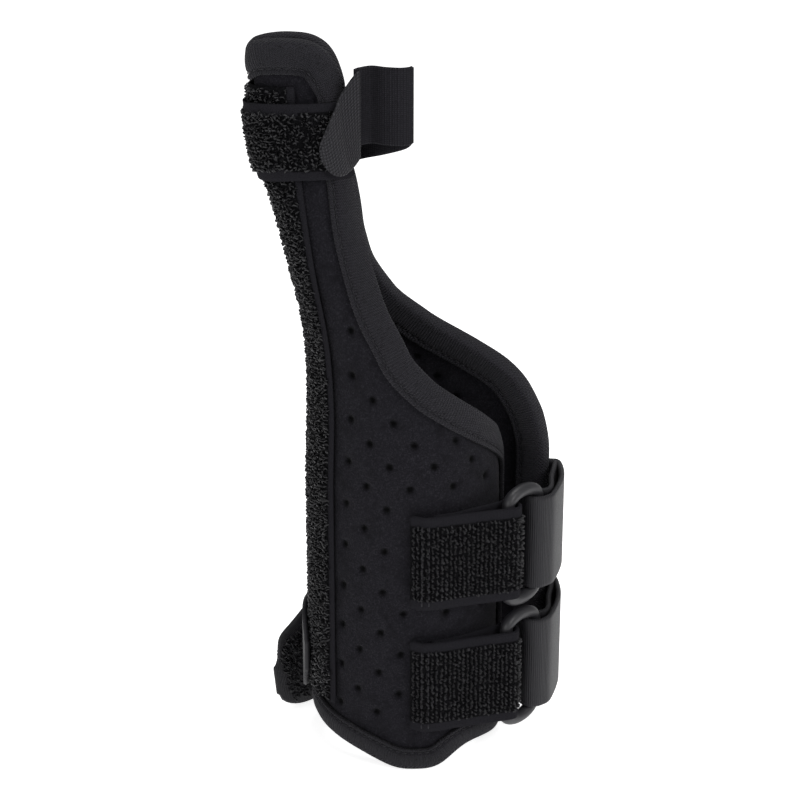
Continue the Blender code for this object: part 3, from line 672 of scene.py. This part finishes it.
def stitches(name, path, normals, out):
    """A row of stitches along a path over a cloth."""
    gone = lengths_of(path)
    starts = np.arange(STITCH_PITCH, gone[-1] - STITCH_PITCH, STITCH_PITCH)
    shares = np.linspace(0, 1, len(STITCH_SWELL))
    wanted = starts[:, None] + shares[None] * STITCH_LENGTH
    points = np.stack([np.interp(wanted, gone, path[:, k]) for k in range(3)], axis=-1)
    ups = unit(np.stack([np.interp(wanted, gone, normals[:, k]) for k in range(3)], axis=-1))
    points += ups * (out + STITCH_RADIUS * 1.2 * np.sin(shares * pi) - STITCH_RADIUS * 0.6)[None, :, None]
    dress(tubes(name, points, STITCH_RADIUS * np.array(STITCH_SWELL), sides=5), THREAD)


def dress(made, cloth, replaced=None):
    made.data.materials.append(cloth.made)
    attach(made, "root")
    if replaced:
        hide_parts(replaced)


def cut_flat(grid, width):
    """Works out the length and area of a sheet of cloth laid over a grid of points, and uses neither."""
    length = float(lengths_of(grid[:, grid.shape[1] // 2])[-1])
    cells = np.cross(np.diff(grid, axis=1)[:-1], np.diff(grid, axis=0)[:, :-1])
    area = min(float(norm(cells, axis=2).sum()), width * length)


# Materials
def fill_in(node, values):
    for key, value in values.items():
        node.inputs[key].default_value = value


def tone(red, green, blue):
    """A dark colour, given in ten-thousandths."""
    return (red / 1e4, green / 1e4, blue / 1e4, 1)


class Cloth:
    """A cloth's material: its bumps and tints are added one by one."""

    def __init__(self, name, colour, roughness, sheen=0.0, gloss=0.12):
        self.made = bpy.data.materials.new(name)
        self.made.use_nodes = True
        self.tree = self.made.node_tree
        self.shader = self.tree.nodes["Principled BSDF"]
        shine = {"Specular IOR Level": gloss, "Sheen Weight": sheen, "Sheen Roughness": SHEEN_ROUGHNESS}
        fill_in(self.shader, {"Base Color": colour, "Roughness": roughness, **shine})
        self.colour = None
        self.plain = colour
        self.bump = None
        self.coords = {}

    def node(self, kind, **values):
        made = self.tree.nodes.new(kind)
        for key, value in values.items():
            if key in made.inputs:
                made.inputs[key].default_value = value
            else:
                setattr(made, key, value)
        return made

    def link(self, a, b):
        self.tree.links.new(a, b)

    def coord(self, kind):
        if kind not in self.coords:
            if kind == "UV":
                self.coords[kind] = self.node("ShaderNodeUVMap", uv_map="UVMap").outputs["UV"]
            else:
                self.coords[kind] = self.node("ShaderNodeTexCoord").outputs["Object"]
        return self.coords[kind]

    def mapped(self, kind, scale):
        made = self.node("ShaderNodeMapping", Scale=scale)
        self.link(self.coord(kind), made.inputs["Vector"])
        return made.outputs["Vector"]

    def noise(self, scale, detail, rough, kind="Object", stretch=(1, 1, 1)):
        made = self.node("ShaderNodeTexNoise", Scale=scale, Detail=detail, Roughness=rough)
        self.link(self.mapped(kind, stretch), made.inputs["Vector"])
        return made.outputs["Fac"]

    def wave(self, pitch, direction, distortion=0.0):
        """Ribs this far apart: direction X runs them across the length, Y along it."""
        made = self.node("ShaderNodeTexWave", wave_type="BANDS", bands_direction=direction)
        fill_in(made, {"Scale": 2 * pi / 20, "Distortion": distortion, "Detail": 1.0})
        self.link(self.mapped("UV", (1 / pitch, 1 / pitch, 1)), made.inputs["Vector"])
        return made.outputs["Fac"]

    def combine(self, a, b, operation="MULTIPLY"):
        made = self.node("ShaderNodeMath", operation=operation)
        self.link(a, made.inputs[0])
        self.link(b, made.inputs[1])
        return made.outputs[0]

    def add_bump(self, height, depth, strength):
        made = self.node("ShaderNodeBump", Strength=strength, Distance=depth)
        self.link(height, made.inputs["Height"])
        if self.bump:
            self.link(self.bump, made.inputs["Normal"])
        self.bump = made.outputs["Normal"]
        self.link(self.bump, self.shader.inputs["Normal"])

    def tint(self, factor, colour, low, high):
        """Mixes in a colour where the factor goes from low to high."""
        spread = self.node("ShaderNodeMapRange", **{"From Min": low, "From Max": high})
        self.link(factor, spread.inputs["Value"])
        made = self.node("ShaderNodeMix", data_type="RGBA")
        if self.colour:
            self.link(self.colour, made.inputs["A"])
        else:
            made.inputs["A"].default_value = self.plain
        made.inputs["B"].default_value = colour
        for found in made.inputs:
            if found.name == "Factor" and found.type == "VALUE":
                self.link(spread.outputs["Result"], found)
        self.colour = next(out for out in made.outputs if out.type == "RGBA")
        self.link(self.colour, self.shader.inputs["Base Color"])

    def value(self, name):
        return self.node("ShaderNodeAttribute", attribute_name=name).outputs["Fac"]


VELOUR = Cloth("velour", tone(78, 74, 96), 0.95, sheen=0.03, gloss=0.06)
VELOUR.tint(VELOUR.noise(2200, 3.0, 0.7), tone(300, 290, 350), 0.48, 0.78)
VELOUR.tint(VELOUR.noise(1100, 3.0, 0.7), tone(20, 19, 25), 0.52, 0.80)
VELOUR.tint(VELOUR.noise(160, 3.0, 0.6), tone(56, 53, 68), 0.52, 0.75)
# Painted shade: the cloth is darkened over each hole's dimple, standing in for the dark seen through the
# perforations
VELOUR.tint(VELOUR.value("dimple_and_hole_shade"), tone(10, 10, 12), 0.25, 0.75)
VELOUR.add_bump(VELOUR.noise(1800, 3.0, 0.7), 0.0004, 0.9)
VELOUR.add_bump(VELOUR.noise(420, 2.0, 0.5), 0.0006, 0.5)

RIBBED = Cloth("ribbed_tape", tone(158, 152, 187), 0.85, sheen=0.04, gloss=0.1)
ribs = RIBBED.wave(0.00090, "X", 0.4)
knit = RIBBED.wave(0.00062, "DIAGONAL", 0.2)
RIBBED.tint(RIBBED.combine(ribs, knit), tone(230, 222, 265), 0.25, 1.0)
RIBBED.tint(RIBBED.noise(900, 2.0, 0.6), tone(72, 68, 83), 0.55, 0.8)
RIBBED.add_bump(ribs, 0.0003, 0.9)
RIBBED.add_bump(knit, 0.0003, 0.9)
RIBBED.add_bump(RIBBED.noise(1400, 2.0, 0.6), 0.0002, 0.6)

PILE = Cloth("loop_pile", tone(62, 60, 73), 0.45, gloss=0.32)
PILE.tint(PILE.noise(700, 2.0, 0.6), tone(190, 185, 214), 0.5, 0.8)
PILE.add_bump(PILE.noise(5000, 2.0, 0.6), 0.00008, 0.6)

PILE_BASE = Cloth("pile_base", tone(30, 30, 35), 0.95, gloss=0.05)
PILE_BASE.tint(PILE_BASE.noise(1200, 3.0, 0.7), tone(108, 104, 122), 0.5, 0.8)
PILE_BASE.tint(PILE_BASE.value("selvage"), tone(115, 111, 134), 0.3, 0.6)
weave = PILE_BASE.combine(PILE_BASE.wave(0.0008, "X", 0.3), PILE_BASE.wave(0.0006, "Y", 0.3))
ribs = PILE_BASE.combine(weave, PILE_BASE.value("weave"))
PILE_BASE.tint(ribs, tone(250, 242, 282), 0.1, 0.9)
PILE_BASE.add_bump(ribs, 0.00025, 0.9)
PILE_BASE.add_bump(PILE_BASE.noise(1600, 3.0, 0.7), 0.0005, 0.8)
PILE_BASE.add_bump(PILE_BASE.wave(0.0005, "X"), 0.00012, 0.6)

SATIN = Cloth("satin_webbing", tone(105, 101, 124), 0.55, sheen=0.03, gloss=0.22)
ribs = SATIN.wave(0.00062, "X", 0.15)
SATIN.tint(ribs, tone(140, 135, 162), 0.2, 1.0)
SATIN.tint(SATIN.noise(500, 2.0, 0.6, "UV", (1, 0.2, 1)), tone(85, 82, 100), 0.5, 0.8)
SATIN.add_bump(ribs, 0.00014, 0.7)
SATIN.add_bump(SATIN.wave(0.0004, "Y"), 0.00008, 0.5)
SATIN.add_bump(SATIN.noise(1400, 2.0, 0.7), 0.0002, 0.6)

TAB_WEAVE = Cloth("hook_tape", tone(115, 111, 133), 0.6, sheen=0.03, gloss=0.18)
squares = TAB_WEAVE.combine(TAB_WEAVE.wave(0.00120, "X", 0.5), TAB_WEAVE.wave(0.00100, "Y", 0.5), "ADD")
TAB_WEAVE.tint(squares, tone(330, 320, 370), 0.9, 1.9)
TAB_WEAVE.add_bump(squares, 0.0003, 0.9)
TAB_WEAVE.add_bump(TAB_WEAVE.noise(2500, 2.0, 0.6), 0.0001, 0.5)

PLASTIC = Cloth("ring_plastic", tone(165, 162, 185), 0.42, gloss=0.35)
PLASTIC.tint(PLASTIC.noise(300, 2.0, 0.5), tone(190, 186, 208), 0.45, 0.7)
PLASTIC.add_bump(PLASTIC.noise(900, 2.0, 0.5), 0.00005, 0.4)

THREAD = Cloth("thread", tone(150, 145, 172), 0.6, sheen=0.04)
THREAD.tint(THREAD.noise(3000, 2.0, 0.6), tone(216, 209, 245), 0.4, 0.8)
THREAD.add_bump(THREAD.noise(6000, 2.0, 0.6), 0.00005, 0.5)


# Pieces
def hole_centres():
    """Places of the perforations, as the CAD panel has them."""
    found = []
    for side in (1, -1):
        for index in range(HOLE_COLUMNS):
            z = LOWEST_HOLE + (index % 2) * HOLE_ROW_PITCH / 2
            while z < HIGHEST_HOLE:
                leant = (z - LOWEST_HOLE) * HOLE_COLUMN_LEAN
                angle = angle_at_distance(side * (FIRST_HOLE_COLUMN + index * HOLE_COLUMN_PITCH + leant), z)
                if clear_of_straps(angle, z) and clear_of_edge(angle, z):
                    found.append((angle, z))
                z += HOLE_ROW_PITCH
    return np.array(found)


def clear_of_straps(angle, z):
    if angle < 0:
        return z >= UPPER_STRAP_HEIGHT + STRAP_WIDTH / 2
    beside = min(abs(z - LOWER_STRAP_HEIGHT), abs(z - UPPER_STRAP_HEIGHT))
    return angle <= PAD_START - 4 or beside >= STRAP_WIDTH / 2 + 2 * HOLE_RADIUS


def clear_of_edge(angle, z):
    side = 1 if angle > 0 else -1
    if abs(angle) >= abs(reach_at(side, z)):
        return False
    here = skin_point(angle, z)
    near = z + np.array([-1, -0.5, 0, 0.5, 1]) * HOLE_MARGIN
    edge = skin_point(reach_at(side * np.ones(5), near), near)
    return norm(edge - here, axis=1).min() >= HOLE_MARGIN


def make_panel():
    rows, columns = PANEL_GRID
    heights = np.linspace(0, HEIGHT, rows)
    across = np.linspace(-1, 1, columns)
    height, share = np.meshgrid(heights, across, indexing="ij")
    angle, z = sheet_place(height, share)
    grid = skin_point(angle, z)
    # Each hole's dimple both dents the cloth and marks where painted shade darkens it
    dimple_and_hole_shade = np.zeros(grid.shape[:2])
    for hole_angle, hole_z in hole_centres():
        away = norm(grid - skin_point(hole_angle, hole_z), axis=2)
        for tall, reach in zip((1.0, WIDE_DIMPLE), DIMPLE_REACHES):
            dimple_and_hole_shade = np.maximum(dimple_and_hole_shade, tall * np.exp(-((away / (reach * HOLE_RADIUS)) ** 2)))
    puff = BODY_PUFF * np.sin(angle * 0.11 + z * 90) * np.sin(z * 130 + angle * 0.05)
    dent = DIMPLE_DEPTH * dimple_and_hole_shade
    made = slab("sleeve_cloth", grid, puff - dent, PANEL_WALL - dent, {"dimple_and_hole_shade": dimple_and_hole_shade})
    dress(made, VELOUR, "sleeve_panel")


def boundary():
    """The panel's whole boundary, evenly spaced: angle, height and the tape's leg there."""
    up = np.linspace(0, 1, BOUNDARY_POINTS, endpoint=False)
    heights = np.concatenate([0 * up, up * HEIGHT, 0 * up + HEIGHT, (1 - up) * HEIGHT])
    across = np.concatenate([2 * up - 1, 0 * up + 1, 1 - 2 * up, 0 * up - 1])
    angle, z = sheet_place(heights, across)
    points = skin_point(angle, z)
    closed = np.concatenate([points, points[:1]])
    gone = lengths_of(closed)
    count = int(gone[-1] / (BOUNDARY_STEP * 1))
    wanted = np.linspace(0, gone[-1], count, endpoint=False)
    index = np.interp(wanted, gone, np.arange(len(closed)))
    low = index.astype(int)
    share = index - low
    high = (low + 1) % len(angle)
    angle = mix(angle[low], angle[high], share)
    z = mix(z[low], z[high], share)
    leg = mix(RIM_LEG, TAPE_LEG, np.clip(mix(heights[low], heights[high], share) / LEG_GROWS, 0, 1))
    return angle, z, leg


def walk_skin(angle, z, heading, distance, steps):
    """Follows the skin in a heading, and gives the places passed, the first one included."""
    passed = [(angle, z)]
    for _ in range(steps):
        round_it, up_it = skin_slopes(angle, z)
        along = heading * (distance / steps)[:, None]
        rr, ru, uu = [(a * b).sum(-1) for a, b in ((round_it, round_it), (round_it, up_it), (up_it, up_it))]
        ar, au = (along * round_it).sum(-1), (along * up_it).sum(-1)
        base = rr * uu - ru * ru
        angle = angle + (ar * uu - au * ru) / base
        z = z + (au * rr - ar * ru) / base
        passed.append((angle, z))
    return passed


def smooth_round(values, reach):
    """A closed run of vectors, averaged with its neighbours."""
    total = sum(np.roll(values, k, axis=0) for k in range(-reach, reach + 1))
    return total / (2 * reach + 1)


def make_binding():
    angle, z, leg = boundary()
    leg = smooth_round(leg[:, None], 6)[:, 0]
    points = skin_point(angle, z)
    normal = skin_normal(angle, z)
    along = np.roll(points, -1, axis=0) - np.roll(points, 1, axis=0)
    along = unit(smooth_round(along, 3))
    inward = unit(np.cross(normal, along))
    passed = walk_skin(angle, z, inward, leg, TAPE_STEPS)
    skin = TAPE_SEAT + TAPE

    def face(side):
        line = []
        for k, (a, h) in enumerate(passed):
            share = k / TAPE_STEPS
            groove = -TAPE_GROOVE * np.exp(-(((share - TAPE_SEAM) / GROOVE_REACH) ** 2))
            puff = TAPE_PUFF * sin(pi * min(1.0, share / TAPE_SEAM)) - (TAPE_HEM if share > 0.95 else 0)
            out = skin + puff + groove
            line.append(over_skin(a, h, out if side > 0 else -PANEL_WALL - out))
        return line

    rows = face(1)[::-1]
    beyond = TAPE_EDGE_SEAT + TAPE
    half = PANEL_WALL / 2 + skin
    for turn in np.radians([70, 45, 20, 0, -20, -45, -70]):
        out = -PANEL_WALL / 2 + half * sin(turn)
        rows.append(points + normal * out - inward * beyond * cos(turn) ** 0.6)
    rows += face(-1)
    under = (-PANEL_WALL - TAPE_SEAT / 2, TAPE_SEAT / 2)
    for back, out in ((TAPE_STEPS, under[0]), (0, under[0]), (0, under[1]), (TAPE_STEPS, under[1])):
        rows.append(over_skin(*passed[back], out))
    ring = np.stack(rows)
    count, length = ring.shape[:2]
    faces = wrapped_faces(count, length)
    u = np.broadcast_to(lengths_of(points)[None], (count, length))
    v = np.broadcast_to((np.arange(count) * 0.001)[:, None], (count, length))
    made = new_object("edge_tape", ring.reshape(-1, 3), faces, np.stack([u, v], axis=-1).reshape(-1, 2))
    dress(made, RIBBED, "edge_binding")
    sewn = passed[round(TAPE_SEAM * TAPE_STEPS)]
    path, ups = skin_point(*sewn), skin_normal(*sewn)
    stitches("outer_stitches", path, ups, skin - STITCH_OFFSET)
    stitches("inner_stitches", path, -ups, PANEL_WALL + skin - STITCH_OFFSET)


def make_stay_strip():
    low = RIM_RISE + RIM_LEG + STRIP_FOOT_GAP
    high = HEIGHT - TOP_DIP - TAPE_LEG - STRIP_TOP_GAP
    rows = []
    for z in np.linspace(low, high, STRIP_ROWS):
        faded = min(1.0, max(0.0, (z - FLARE_FADES_FROM) / FLARE_FADES_OVER))
        flare = mix(STRIP_FLARE, STRIP_FLARE_TOP, faded)
        ends = [angle_at_distance(-STRIP_WIDTH / 2, z), angle_at_distance(STRIP_WIDTH / 2 + flare, z)]
        rows.append(over_skin(np.linspace(*ends, 37), z, STRIP_SEAT + STRIP_THICK / 2))
    grid = np.array(rows)
    selvage = np.zeros(grid.shape[:2])
    selvage[:, [0, 1, -2, -1]] = 1
    cloth_top = STRIP_THICK / 2 - PILE_DEPTH
    made = slab("stay_cover", grid, cloth_top, STRIP_THICK / 2, {"selvage": selvage})
    dress(made, PILE_BASE, "stay_strip")
    cut_flat(grid, STRIP_WIDTH + STRIP_FLARE)
    pile_over("stay_pile", grid, cloth_top, (0.004, 0.996), (0.04, 0.955), 11)


def thumb_band_out(angle):
    strip_top = STRIP_SEAT + STRIP_THICK
    tape_top = TAPE_SEAT + TAPE
    top = mix(strip_top, tape_top, np.clip((np.abs(angle) - 88.0) / 25.0, 0, 1))
    return top + BAND_SEAT + THUMB_STRAP_THICK / 2


def band_rows(angles, rise, width, extra, shares):
    angles = np.asarray(angles, float)[:, None]
    middle = THUMB_STRAP_HEIGHT + np.asarray(rise, float).reshape(-1, 1)
    z = middle + width * shares[None]
    return over_skin(angles + 0 * z, z, (thumb_band_out(angles) + extra) + 0 * z)


def loop_points():
    edge = flat(skin_point(float(front_reach_at(THUMB_STRAP_HEIGHT / HEIGHT)), THUMB_STRAP_HEIGHT))
    deep = mix(WRIST_DEPTH, THUMB_DEPTH, float(deep_at(THUMB_STRAP_HEIGHT / HEIGHT)))
    return [np.array([edge[0] + fold.right * THUMB_LOOP_REACH, -fold.forward * deep, 0.0]) for fold in LOOP]


def make_thumb_strap():
    shares = np.linspace(-0.5, 0.5, 25)
    angles = np.linspace(BAND_FRONT_END, BAND_LEAVES, 160)
    band = band_rows(angles, 0 * angles, THUMB_STRAP_WIDTH, 0.0, shares)
    ends = flat(band[[-6, -1]])
    lines = [rounded_route([*ends[:, k], *loop_points()], 9)[9:] for k in range(len(shares))]
    total = len(lines[0])
    loop = []
    for i in range(1, total):
        climb = THUMB_LOOP_RISE * min(1.0, THUMB_LOOP_CLIMB * i / total)
        row = np.array([line[i] for line in lines])
        row[:, 2] = THUMB_STRAP_HEIGHT + climb + THUMB_STRAP_WIDTH * shares
        loop.append(row)
    grid = np.concatenate([band, np.array(loop)])
    size = grid_uvs(grid)
    edge = np.abs(size[..., 1]) > THUMB_STRAP_WIDTH / 2 - SELVAGE
    along = np.linspace(0, 1, len(grid))[:, None] * np.ones(grid.shape[1])
    on_loop = along > len(band) / len(grid)
    cloth_top = THUMB_STRAP_THICK / 2 - PILE_DEPTH
    values = {"selvage": np.maximum(edge, on_loop).astype(float), "weave": on_loop.astype(float)}
    outwards = mix(cloth_top, THUMB_STRAP_THICK / 2, values["weave"])
    made = slab("thumb_ribbon", grid, outwards, THUMB_STRAP_THICK / 2, values)
    dress(made, PILE_BASE, "thumb_strap")
    cut_flat(grid, THUMB_STRAP_WIDTH)
    stop = len(band) / len(grid) * 0.98
    pile_over("thumb_pile", grid, cloth_top, (0.01, stop), (0.12, 0.88), 12)


def make_thumb_tab():
    lift = THUMB_STRAP_THICK / 2 + TAB_SEAT + TAB_THICK / 2
    loop = loop_points()
    ahead = unit(loop[-1] - loop[-2])
    aside = np.array([-ahead[1], ahead[0], 0.0]) * lift
    middle = THUMB_STRAP_HEIGHT + THUMB_LOOP_RISE
    three = np.array([-0.5, 0.0, 0.5])
    over = loop[-1] + aside
    keys = [np.array([[over[0], over[1], middle + TAB_WIDTH * share] for share in three])]
    landings = 4
    for i in range(landings + 1):
        angle = mix(TAB_START, TAB_END, i / landings)
        rise = THUMB_LOOP_RISE * (1 - (i + 1) / (landings + 1)) - TAB_SAG
        keys.append(band_rows([angle], [rise], TAB_WIDTH, lift, three)[0])
    lines = [np.array(rounded_route([key[k] for key in keys], 12)) for k in range(3)]
    gone = lengths_of(lines[1])
    left = np.clip((gone[-1] - gone) / (TAB_NOSE * TAB_WIDTH), 0, 1)
    narrow = np.maximum(0.2, (1 - (1 - left) ** NOSE_POWER) ** 0.5)
    slant = mix(TAB_TAPER, TAB_CORNER, left)
    side = np.linspace(-1, 1, 25)[:, None]
    rows = []
    for low, centre, high, size, less in zip(*lines, narrow, slant):
        low = centre + (low - centre) * size
        high = centre + (high - centre) * size * less
        rows.append(centre + side * (high - low) / 2 + side**2 * ((high + low) / 2 - centre))
    grid = np.array(rows)[:, ::-1]
    made = slab("tab_cloth", grid, TAB_THICK / 2, TAB_THICK / 2)
    dress(made, TAB_WEAVE, "thumb_tab")
    cut_flat(grid, TAB_WIDTH)


def make_wrist_strap(name, node, route, height_at):
    grid, _ = strap_grid(route, height_at, STRAP_WIDTH, STRAP_END_WIDTH)
    grid = grid[:, ::-1]
    made = slab(name, grid, STRAP_THICK / 2, STRAP_THICK / 2)
    dress(made, SATIN, node)
    cut_flat(grid, STRAP_WIDTH)
    return grid


def make_wrist_straps():
    over_strip = STRIP_SEAT + STRIP_THICK + SEAT + STRAP_THICK / 2
    route, _ = strap_route(LOWER_END, over_strip, 0.0)
    make_wrist_strap("lower_webbing", "lower_wrist_strap", route, lambda length: (LOWER_STRAP_HEIGHT, 0.0))
    over_lower = TAPE_SEAT + TAPE + EDGE_PASS + 2 * (STRAP_THICK + SEAT) + STRAP_THICK / 2
    route, fold_at = strap_route(UPPER_LEAVES, over_lower, UPPER_END_OUT)
    gone = lengths_of(route)
    start, total = gone[fold_at] + DROP_START, gone[-1]
    drop_at = curve_through([(mix(start, total, way), drop) for way, drop in DROP])

    def height_at(length):
        small = 0.001
        before = total - 2 * small if length > total - small else length
        slope = (drop_at(before + small) - drop_at(before)) / small
        return UPPER_STRAP_HEIGHT - UPPER_END_DROP * drop_at(length), -UPPER_END_DROP * slope

    grid = make_wrist_strap("upper_webbing", "upper_wrist_strap", route, height_at)
    for side, name in ((1, "tongue_pile_out"), (-1, "tongue_pile_in")):
        pile_over(name, grid, STRAP_THICK / 2, (0.84, 0.985), (0.08, 0.92), 13 + side, side)


def pad_route():
    z = LOWER_STRAP_HEIGHT
    left_bar, _ = ring_bars()
    sewn = SEAT + PAD_THICK / 2
    stacked = sewn + PAD_THICK + SEAT
    rises = curve_through([(PAD_START, sewn), (PAD_LANDS - 6, stacked), (PAD_LEAVES, stacked)])
    outer = body_run(PAD_START, PAD_LEAVES, z, rises)
    fold_out = RING_WIRE / 2 + RING_SEAT + PAD_THICK / 2
    fold = half_fold(left_bar, fold_out, RING_TURN - 90)
    inner = body_run(PAD_LEAVES, PAD_LANDS, z, lambda angle: sewn + 0 * angle)
    crossing = rounded_route([outer[-2], outer[-1], fold[0], fold[1]], 8)[8:-8]
    returning = rounded_route([fold[-2], fold[-1], inner[0], inner[1]], 8)[8:-8]
    route = np.array(outer[:-1] + crossing[:-1] + fold[:-1] + returning[:-1] + inner)
    top_layer = lengths_of(route)[len(outer) + len(crossing) - 2 + 4]
    return route, top_layer


def make_ring_pad(side, height):
    route, top_layer = pad_route()
    grid, lengths = strap_grid(route, lambda length: (height, 0.0), STRAP_WIDTH)
    grid = grid[:, ::-1]
    size = grid_uvs(grid)
    edge = (np.abs(size[..., 1]) > STRAP_WIDTH / 2 - SELVAGE).astype(float)
    cloth_top = PAD_THICK / 2 - KNOT_DEPTH
    made = slab(side + "_pad_cloth", grid, cloth_top, PAD_THICK / 2, {"selvage": edge})
    dress(made, PILE_BASE, side + "_ring_pad")
    cut_flat(grid, STRAP_WIDTH)
    normals = grid_normals(grid)
    out = PAD_THICK / 2 + STITCH_OFFSET
    for count, shown in enumerate(PAD_SEAMS):
        row = int(shown / lengths[-1] * (len(grid) - 1))
        stitches(f"{side}_pad_seam_{count}", grid[row], normals[row], out)
    rows = (0.01, top_layer / lengths[-1])
    seed = 20 + len(side) + int(height * 1000)
    knots = {"pitch": KNOT_STEP, "height": KNOT_HEIGHT, "wire": KNOT_WIRE, "chain": KNOT_TURN}
    pile_over(side + "_pad_pile", grid, cloth_top, rows, (0.10, 0.90), seed, **knots)


def make_ring(side, height):
    left_bar, right_bar = ring_bars()
    middle = (left_bar + right_bar) / 2
    turn = unit(right_bar - left_bar)
    half_wide = (RING_WIDTH - RING_WIRE) / 2
    half_long = (RING_LENGTH - RING_WIRE) / 2
    straight = half_long - RING_END
    outline = []
    for end, start in ((1, 0), (-1, 180)):
        for angle in np.radians(start + np.linspace(0, 180, 25)):
            outline.append((half_wide * cos(angle), end * straight + RING_END * sin(angle)))
    fine = []
    for a, b in zip(outline, outline[1:] + outline[:1]):
        steps = 10 if abs(a[1] - b[1]) > 0.01 else 1
        fine += [(mix(a[0], b[0], k / steps), mix(a[1], b[1], k / steps)) for k in range(steps)]
    path = np.array([middle + turn * wide + np.array([0, 0, height + tall]) for wide, tall in fine])
    along = unit(np.roll(path, -1, axis=0) - np.roll(path, 1, axis=0))
    flat_way = unit(np.cross(turn, np.array([0.0, 0, 1])))
    out = np.cross(along, flat_way)
    turns = np.linspace(0, 2 * pi, 20, endpoint=False)
    ring = out[:, None] * np.cos(turns)[:, None] + flat_way[None, None] * np.sin(turns)[:, None]
    points = path[:, None] + ring * RING_WIRE / 2
    made = new_object(side + "_oval", points.reshape(-1, 3), wrapped_faces(*points.shape[:2]))
    dress(made, PLASTIC, side + "_ring")


make_panel()
make_binding()
make_stay_strip()
make_thumb_strap()
make_thumb_tab()
make_wrist_straps()
for side, height in (("lower", LOWER_STRAP_HEIGHT), ("upper", UPPER_STRAP_HEIGHT)):
    make_ring_pad(side, height)
    make_ring(side, height)


def aim(made, place, target):
    made.location = place
    made.rotation_euler = (Vector(target) - Vector(place)).to_track_quat("-Z", "Y").to_euler()


# Floor
mesh = bpy.data.meshes.new("floor")
corners = [(x * FLOOR_HALF, y * FLOOR_HALF, 0) for x, y in ((-1, -1), (1, -1), (1, 1), (-1, 1))]
mesh.from_pydata(corners, [], [(0, 1, 2, 3)])
paper = bpy.data.materials.new("paper")
paper.use_nodes = True
shader = paper.node_tree.nodes["Principled BSDF"]
fill_in(shader, {"Base Color": (PAPER_TONE, PAPER_TONE, PAPER_TONE, 1), "Roughness": 0.9})
fill_in(shader, {"Emission Color": WHITE, "Emission Strength": PAPER_GLOW})
mesh.materials.append(paper)
in_scene("floor", mesh)

# World: the camera sees it white, and the part is lit by less
world = bpy.data.worlds.new("studio")
world.use_nodes = True
tree = world.node_tree
link = tree.links.new
shown = tree.nodes["Background"]
fill_in(shown, {"Color": WHITE})
light = tree.nodes.new("ShaderNodeBackground")
fill_in(light, {"Color": WHITE, "Strength": WORLD_LIGHT})
path = tree.nodes.new("ShaderNodeLightPath")
mixed = tree.nodes.new("ShaderNodeMixShader")
link(path.outputs["Is Camera Ray"], mixed.inputs["Fac"])
link(light.outputs["Background"], mixed.inputs[1])
link(shown.outputs["Background"], mixed.inputs[2])
link(mixed.outputs["Shader"], tree.nodes["World Output"].inputs["Surface"])
scene.world = world

# Lamps
for lamp in LAMPS:
    light = bpy.data.lights.new(lamp.name, "AREA")
    light.shape, light.size, light.energy = "DISK", lamp.size, lamp.power
    aim(in_scene(lamp.name, light), lamp.place, LAMPS_AIM)

# Camera
elevation = radians(CAMERA_ELEVATION)
target = Vector((ORIGIN[0] - CAMERA_LEFT, ORIGIN[1], CAMERA_HEIGHT))
camera = bpy.data.cameras.new("photo_view")
camera.lens = CAMERA_LENS
camera.sensor_width = CAMERA_SENSOR
made = in_scene("photo_view", camera)
aim(made, target + Vector((0, -cos(elevation), sin(elevation))) * CAMERA_DISTANCE, target)
scene.camera = made
scene.view_settings.view_transform = "Standard"
